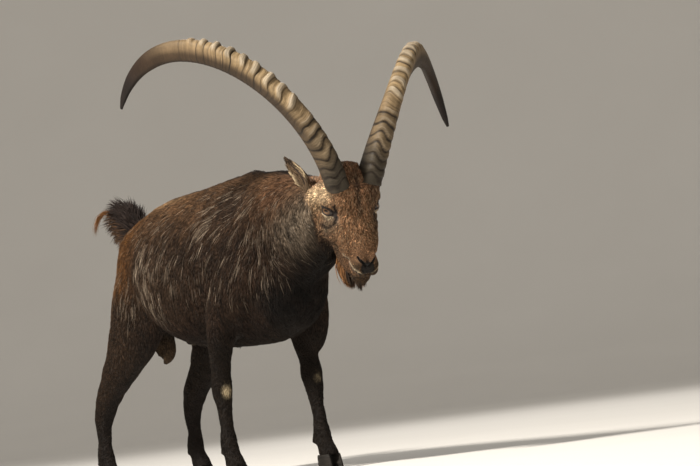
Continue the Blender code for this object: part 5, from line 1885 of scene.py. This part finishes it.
@dataclass
class Ear:
    """A leaf-shaped cup with short hair outside and longer pale hair inside."""

    anatomy: Anatomy
    coat: Coat
    side: Side
    length: float = 0.125
    half_width: float = 0.0220
    root: Place = (0.012, 0.075, -0.104)
    tufts: int = 3600
    fold_depth: float = 0.0105
    profile: Tuple[Tuple[float, float, float, float], ...] = (
        (-0.010, 0.45, 0.0100, 0.0),
        (0.016, 0.48, 0.0095, 0.05),
        (0.030, 0.68, 0.0070, 0.45),
        (0.050, 0.92, 0.0045, 1.05),
        (0.070, 0.94, 0.0030, 1.15),
        (0.090, 0.74, 0.0022, 1.00),
        (0.107, 0.44, 0.0016, 0.70),
        (0.126, 0.08, 0.0010, 0.20),
    )

    def ways(self) -> Tuple[Array, Array, Array, Array]:
        """The ear's root, the way it points, the way its cup looks, and across it."""
        x, y, z = self.root
        sign = self.side.value
        place = self.anatomy.from_head([x, sign * y, z])
        axis = unit(self.anatomy.ways([-0.335, sign * 0.372, 0.866]) @ self.anatomy.level.T)
        looks = self.anatomy.ways([0.25, sign * 0.96, -0.05]) @ self.anatomy.level.T
        looks = unit(looks - axis * (looks @ axis))
        return place, axis, looks, np.cross(axis, looks)

    def build(self, rng: np.random.Generator, hair: bpy.types.Material) -> List[bpy.types.Object]:
        """Builds the cup and its hair."""
        place, axis, looks, across = self.ways()
        rows = smooth_rows([(r[0], 0.0, 0.0, *r[1:]) for r in self.profile], 40)
        steps = 16
        u = np.linspace(-1.0, 1.0, steps)
        rings = []
        for up, _, _, width, thick, cup in rows:
            half = self.half_width * max(width, 0.05)
            sag = -self.fold_depth * cup * (1.0 - u * u) * 1.35
            edge = thick * np.sqrt(np.maximum(0.0, 1.0 - (u * 0.97) ** 2))
            middle = place + axis * up
            inner = middle + across * (u * half)[:, None] + looks * (sag + edge)[:, None]
            outer = middle + across * (u * half * 1.02)[:, None] + looks * (sag - edge)[:, None]
            rings.append(np.concatenate([inner, outer[::-1]]))
        cup = loft("ear_cup_" + self.side.word, np.array(rings))
        points, normal = vertices(cup), normals(cup)
        paint(cup, "marking", self.marking(points, normal) * 0.8)
        paint(cup, "moist", np.zeros(len(points)))
        dress(cup, SkinFinish("ear_skin_" + self.side.word).material())
        ground = Ground.of(cup)
        up = (ground.middles() - place) @ axis
        roots, normal = ground.scatter(self.tufts, (up > 0.004) * 1.0, rng)
        count = len(roots)
        inside = ((normal @ looks) > 0.1) * 1.0
        way = axis + 0.35 * np.outer((roots - place) @ across / self.half_width, across) * inside[:, None]
        way = way - 0.25 * looks * (1 - inside)[:, None]
        way = unit(way - normal * (way * normal).sum(1)[:, None])
        length = rng.uniform(0.007, 0.012, count) + inside * rng.uniform(0.0, 0.012, count)
        share = np.clip(((roots - place) @ axis) / self.length, 0, 1)
        length = length * (1.0 - 0.45 * ramp(share, 0.70, 1.0))
        width = rng.uniform(0.0011, 0.0019, count)
        rise = rng.uniform(0.10, 0.22, count) + inside * 0.10
        colour = self.marking(roots, normal) * varied(rng, 0.22, count)
        tufts = Tufts("ear_hair_" + self.side.word, ground, self.coat, 1)
        fur = tufts.grow(roots, normal, way, length, width, rise, colour, rng, 0.3, 0.006)
        dress(fur, hair)
        return [cup, fur]

    def marking(self, points: Array, normal: Array) -> Array:
        """Colours of the ear: brown outside, pale inside with dark streaks, dark edge and tip."""
        place, axis, looks, across = self.ways()
        up = (points - place) @ axis / self.length
        v = (points - place) @ across / self.half_width
        inside = ramp(normal @ looks, -0.05, 0.35)
        edge = np.abs(v)
        c = even((0.095, 0.052, 0.028), len(points))
        c = blend(c, (0.080, 0.052, 0.030), inside)
        c = blend(c, (0.42, 0.325, 0.205), inside * ramp(edge, 0.62, 0.90))
        lines = 0.5 + 0.5 * np.sin(v * 9.0 + 3.0 * up + 1.0)
        streak = inside * ramp(lines, 0.45, 0.9) * ramp(up, 0.10, 0.25) * ramp(edge, 0.80, 0.5)
        c = blend(c, (0.022, 0.014, 0.010), 0.95 * streak)
        rolled = 0.75 * ramp(edge, 0.62, 0.98) * (1.0 - 0.8 * inside) * ramp(up, 0.2, 0.4)
        c = blend(c, (0.045, 0.030, 0.020), rolled)
        return blend(c, (0.055, 0.036, 0.024), 0.7 * ramp(up, 0.86, 0.98))


# Tail and beard


@dataclass
class Brush:
    """The tail's and the beard's long curved locks."""

    anatomy: Anatomy
    coat: Coat
    ground: Ground
    dock_core: Tuple[Tuple[float, float, float, float], ...] = (
        (-0.655, 0.0, 0.690, 0.024),
        (-0.700, 0.0, 0.714, 0.021),
        (-0.734, 0.0, 0.738, 0.018),
        (-0.758, 0.0, 0.762, 0.013),
        (-0.772, 0.0, 0.782, 0.007),
    )
    dock_rows: int = 24
    dock_points: int = 20
    tail_locks: int = 2600
    wisp_locks: int = 60
    beard_locks: int = 1500
    tail_colour: Colour = (0.017, 0.011, 0.009)
    wisp_colour: Colour = (0.215, 0.095, 0.032)
    beard_colour: Colour = (0.200, 0.092, 0.034)

    def every(self, way: Place, count: int) -> Array:
        """One direction in the animal's axes, for each of many locks."""
        return self.anatomy.ways(even(way, count))

    def dock(self) -> bpy.types.Object:
        """Builds the dock, the tapered stump that the tail's hair grows on."""
        rows = smooth_rows(self.dock_core, self.dock_rows)
        last = self.dock_rows - 1
        angle = np.linspace(0.0, 2 * math.pi, self.dock_points, endpoint=False)
        side = np.array([0.0, 1.0, 0.0])
        rings = []
        for i, row in enumerate(rows):
            ahead = unit(rows[min(i + 1, last), :3] - rows[max(i - 1, 0), :3])
            up = np.cross(ahead, side)
            rings.append(row[:3] + row[3] * (np.cos(angle)[:, None] * side + np.sin(angle)[:, None] * up))
        dock = loft("dock", self.anatomy.places(np.array(rings)))
        count = len(dock.data.vertices)
        paint(dock, "marking", even((0.022, 0.015, 0.011), count))
        paint(dock, "moist", np.zeros(count))
        dress(dock, SkinFinish("dock_skin").material())
        return dock

    def tail(self, rng: np.random.Generator, hair: bpy.types.Material) -> List[bpy.types.Object]:
        """Builds the dock and the tail's dark brush, with a rusty wisp that curls down from it."""
        dock = self.dock()
        ground = Ground.of(dock)
        forward = self.anatomy.in_body(ground.middles())[:, 0]
        roots, normal = ground.scatter(self.tail_locks, 0.25 + ramp(forward, -0.68, -0.74), rng)
        count = len(roots)
        ahead = self.every((-0.62, 0.0, 0.78), count)
        share = ramp(self.anatomy.in_body(roots)[:, 0], -0.68, -0.775)
        way = unit(ahead * (0.9 + 0.5 * share)[:, None] + normal * (0.92 - 0.30 * share)[:, None])
        way = unit(way + rng.normal(0.0, 0.13, (count, 3)))
        droop = self.every((-0.30, 0.0, -0.55), count) + 0.10 * rng.normal(size=(count, 3))
        below = ramp((normal * self.anatomy.ways([0.5, 0.0, 1.0])).sum(1), 0.3, -0.6)
        droop = droop + self.every((-0.30, 0.0, -0.75), count) * below[:, None]
        length = rng.uniform(0.064, 0.106, count) * (0.55 + 0.45 * share) * (1.0 + 0.20 * below)
        width = rng.uniform(0.0022, 0.0038, count)
        colour = even(self.tail_colour, count)
        colour = blend(colour, (0.100, 0.052, 0.024), 0.9 * below * (rng.random(count) < 0.6))
        colour = colour * varied(rng, 0.30, count)
        locks = Tufts("tail_locks", ground, self.coat, 3)
        flat = np.zeros(count)
        brush = locks.grow(roots, normal, way, length, width, flat, colour, rng, 0.60, 0.015, False, droop)
        dress(brush, hair)
        return [dock, brush, self.wisp(rng, hair)]

    def wisp(self, rng: np.random.Generator, hair: bpy.types.Material) -> bpy.types.Object:
        """Builds the rusty wisp that curls out of the tail's brush and down."""
        count = self.wisp_locks
        root = self.anatomy.places(np.array([-0.790, -0.046, 0.800]))
        roots = root + rng.normal(0.0, 0.0025, (count, 3))
        way = unit(self.every((-0.60, -0.40, 0.10), count) + rng.normal(0.0, 0.05, (count, 3)))
        droop = self.every((0.95, 0.45, -2.60), count) + rng.normal(0.0, 0.06, (count, 3))
        length = rng.uniform(0.080, 0.108, count)
        width = np.full(count, 0.0018)
        colour = np.array(self.wisp_colour) * varied(rng, 0.25, count)
        normal = self.every((0.0, 0.0, 1.0), count)
        locks = Tufts("tail_wisp", self.ground, self.coat, 3)
        flat = np.zeros(count)
        wisp = locks.grow(roots, normal, way, length, width, flat, colour, rng, 0.5, 0.02, False, droop)
        dress(wisp, hair)
        return wisp

    def beard(self, rng: np.random.Generator, hair: bpy.types.Material) -> bpy.types.Object:
        """Builds the beard: brown locks that curl forward, the ones under the chin darker as painted shade,
        and some dark locks among the rest.
        """
        count = self.beard_locks
        t = rng.random(count)
        y = rng.uniform(-0.026, 0.026, count)
        guess = self.anatomy.from_head(np.stack([0.166 + 0.060 * t, y, -0.138 + 0.026 * t], -1))
        roots = self.ground.points[self.ground.nearest(guess)] + rng.normal(0.0, 0.0012, (count, 3))
        rows = np.stack([0.42 + 0.50 * t, y * 6.0, -0.90 + 0.65 * t], -1)
        way = unit(rows @ self.anatomy.head.T + rng.normal(0.0, 0.07, (count, 3)))
        bend = np.stack([1.05 + 0.0 * t, -y * 26.0, 2.30 - 1.75 * t], -1)
        droop = bend @ self.anatomy.head.T + rng.normal(0.0, 0.06, (count, 3))
        length = rng.uniform(0.085, 0.122, count) * (1.0 - 0.52 * t)
        width = rng.uniform(0.0020, 0.0036, count)
        # painted shade: the locks under the chin are darkened, and a share of the rest are dark at random
        dark = ramp(t, 0.72, 0.88) + 0.5 * (rng.random(count) < 0.22)
        colour = blend(even(self.beard_colour, count), (0.028, 0.018, 0.012), dark)
        colour = colour * varied(rng, 0.28, count)
        normal = even(self.anatomy.head @ np.array([0.0, 0.0, -1.0]), count)
        locks = Tufts("beard_locks", self.ground, self.coat, 3)
        flat = np.zeros(count)
        piece = locks.grow(roots, normal, way, length, width, flat, colour, rng, 0.45, 0.010, False, droop)
        dress(piece, hair)
        return piece


# Hooves


@dataclass
class Claw:
    """One claw of a cloven hoof, with a hard wall, growth rings and a worn edge."""

    node: str
    rows: int = 26
    points: int = 48
    toe: float = 0.56
    slant: float = 0.22
    into_leg: float = 0.004
    heights: Tuple[float, ...] = (0.0, 0.05, 0.12, 0.5, 0.80, 0.93, 1.0)
    widths: Tuple[float, ...] = (0.93, 0.985, 1.0, 0.955, 0.915, 0.87, 0.80)

    def build(self, material: bpy.types.Material) -> bpy.types.Object:
        """Builds the claw inside its node's own outline."""
        low, high = (np.array(corner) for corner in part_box(self.node))
        middle = (low + high) / 2.0
        half = (high - low) / 2.0
        inner = 1.0 if self.node.endswith("right") else -1.0
        t = np.linspace(0.0, 1.0, self.rows)
        angle = np.linspace(0.0, 2 * math.pi, self.points, endpoint=False)
        x, y = squarish(np.cos(angle), 0.8), squarish(np.sin(angle), 0.8)
        wall = np.where(x * inner > 0, 0.92, 1.0) * (1.0 - self.toe * np.maximum(0.0, -y) ** 2)
        grow = np.interp(t, self.heights, self.widths)
        grow = grow + 0.006 * np.sin(t * 46.0) * ramp(t, 0.05, 0.15)
        slide = self.slant * half[1] * (t - 0.1)
        rings = np.zeros((self.rows, self.points, 3))
        rings[..., 0] = middle[0] + x[None] * wall[None] * half[0] * grow[:, None]
        deep = y[None] * half[1] * 0.98 * grow[:, None]
        rings[..., 1] = middle[1] + deep + slide[:, None] - 0.03 * half[1]
        rings[..., 2] = low[2] + (high[2] - low[2] + self.into_leg) * t[:, None]
        claw = loft(self.node.replace("claw", "hoof"), rings)
        dress(claw, material)
        return claw


# Studio


@dataclass(frozen=True)
class Lamp:
    """A soft square light that faces the animal."""

    name: str
    place: Place
    size: float
    power: float
    colour: Colour

    def hang(self) -> None:
        """Adds the light to the scene."""
        data = bpy.data.lights.new(self.name, "AREA")
        data.shape = "SQUARE"
        data.size = self.size
        data.energy = self.power
        data.color = self.colour
        lamp = bpy.data.objects.new(self.name, data)
        bpy.context.scene.collection.objects.link(lamp)
        lamp.location = self.place
        lamp.rotation_mode = "QUATERNION"
        lamp.rotation_quaternion = (Vector(self.place) - Vector((0, 0, 0.6))).to_track_quat("Z", "Y")


LAMPS = (
    Lamp("key", (-5.2, -1.0, 5.2), 1.0, 1020.0, (1.0, 0.945, 0.86)),
    Lamp("fill", (-3.0, -6.0, 1.6), 3.0, 45.0, (1.0, 0.96, 0.90)),
    Lamp("back", (3.6, 4.2, 4.2), 2.5, 110.0, (1.0, 0.97, 0.92)),
)
# the section of the floor from its middle outwards, as radius and height
FLOOR_SECTION = (
    (0.02, 0.0),
    (3.0, 0.0),
    (7.0, 0.0),
    (11.0, 0.0),
    (12.6, 0.25),
    (14.0, 1.0),
    (15.2, 2.3),
    (16.0, 4.2),
    (16.3, 6.5),
    (16.4, 9.0),
)


@dataclass
class Studio:
    """Floor, lights and camera."""

    anatomy: Anatomy
    turn: float = -32.0
    elevation: float = -2.5
    roll: float = 7.0
    distance: float = 9.0
    focal_pixels: float = 3330.0
    aim: Place = (0.0, 0.0, 0.57)
    aim_pixel: Tuple[float, float] = (271.0, 265.0)
    picture: Tuple[float, float] = (700.0, 466.0)
    sensor: float = 36.0
    sky: Tuple[float, float, float, float] = (0.86, 0.82, 0.76, 1.0)
    sky_power: float = 0.36

    def camera(self) -> None:
        """Stands the camera where the photographer stood, tilted as the picture is."""
        a, e, r = (math.radians(v) for v in (self.turn, self.elevation, self.roll))
        right = np.array([math.cos(a), math.sin(a), 0.0])
        back = np.array([math.sin(a) * math.cos(e), -math.cos(a) * math.cos(e), math.sin(e)])
        up = np.cross(back, right)
        right, up = math.cos(r) * right - math.sin(r) * up, math.sin(r) * right + math.cos(r) * up
        wide, tall = self.picture
        across = (self.aim_pixel[0] - wide / 2) / self.focal_pixels * self.distance
        high = (tall / 2 - self.aim_pixel[1]) / self.focal_pixels * self.distance
        place = np.array(self.aim) + back * self.distance - right * across - up * high + self.anatomy.shift
        data = bpy.data.cameras.new("camera")
        data.sensor_width = self.sensor
        data.lens = self.focal_pixels / wide * self.sensor
        data.clip_end = 100.0
        camera = bpy.data.objects.new("camera", data)
        bpy.context.scene.collection.objects.link(camera)
        frame = Matrix((right, up, back)).transposed().to_4x4()
        frame.translation = Vector(place)
        camera.matrix_world = frame
        bpy.context.scene.camera = camera

    def bowl(self) -> None:
        """Lays the floor, which curves up into a wall all round, with no line between them."""
        angle = np.linspace(0.0, 2 * math.pi, 128, endpoint=False)
        rings = []
        for radius, height in FLOOR_SECTION:
            level = np.full(len(angle), height)
            rings.append(np.stack([np.cos(angle) * radius, np.sin(angle) * radius, level], -1))
        bowl = loft("studio_floor", np.array(rings), caps=False)
        with reshaping(bowl) as shape:
            hole = [e for e in shape.edges if all(max(abs(v.co.x), abs(v.co.y)) < 0.03 for v in e.verts)]
            bmesh.ops.contextual_create(shape, geom=hole)
            bmesh.ops.recalc_face_normals(shape, faces=shape.faces)
            if sum(face.normal.z for face in shape.faces) < 0.0:
                bmesh.ops.reverse_faces(shape, faces=shape.faces)
        dress(bowl, FloorFinish().material())

    def build(self) -> None:
        """Sets up the studio."""
        self.camera()
        self.bowl()
        for lamp in LAMPS:
            lamp.hang()
        world = bpy.data.worlds.new("studio")
        world.use_nodes = True
        background = world.node_tree.nodes["Background"]
        background.inputs["Color"].default_value = self.sky
        background.inputs["Strength"].default_value = self.sky_power
        scene = bpy.context.scene
        scene.world = world
        scene.view_settings.view_transform = "Standard"


# Putting it together


def carry(piece: bpy.types.Object, slot: str, *replaced: str) -> None:
    """Lets a piece ride with the animal, and hides the nodes it stands for."""
    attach(piece, "root")
    if replaced:
        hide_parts(*replaced)
    LOG.info("%s: %d vertices, %d faces", piece.name, len(piece.data.vertices), len(piece.data.polygons))


def main() -> None:
    """Builds the dressed animal and its studio."""
    logging.basicConfig(level=logging.INFO, format="%(message)s")
    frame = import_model()
    anatomy = Anatomy()
    coat = Coat(anatomy)
    Studio(anatomy).build()

    skin = Skin(anatomy, coat)
    body = skin.build(frame["nodes"])
    skin.dressed()
    carry(body, "dark_coat", *FLESH)

    rng = np.random.default_rng(3)
    hair = HairFinish().material()
    ground = Ground.of(body)
    for piece in Pelt(anatomy, coat, ground).build(hair):
        carry(piece, "dark_coat")
    for side in Side:
        carry(Horn(anatomy, side).build(), "horn", "horn_" + side.word)
        eye = Eye(anatomy, side)
        carry(eye.ball(), "eye", "eye_" + side.word)
        carry(eye.rim(), "face_coat")
        cup, fur = Ear(anatomy, coat, side).build(rng, hair)
        carry(cup, "face_coat", "ear_" + side.word)
        carry(fur, "face_coat")
    brush = Brush(anatomy, coat, ground)
    dock, locks, wisp = brush.tail(rng, hair)
    carry(dock, "tail_hair")
    carry(locks, "tail_hair", "tail")
    carry(wisp, "tail_hair")
    carry(brush.beard(rng, hair), "beard_hair", "beard")
    hoof = HoofFinish().material()
    for node in sorted(name for name in frame["nodes"] if name.startswith("claw_")):
        carry(Claw(node).build(hoof), "hoof", node)


if __name__ == "__main__":
    main()
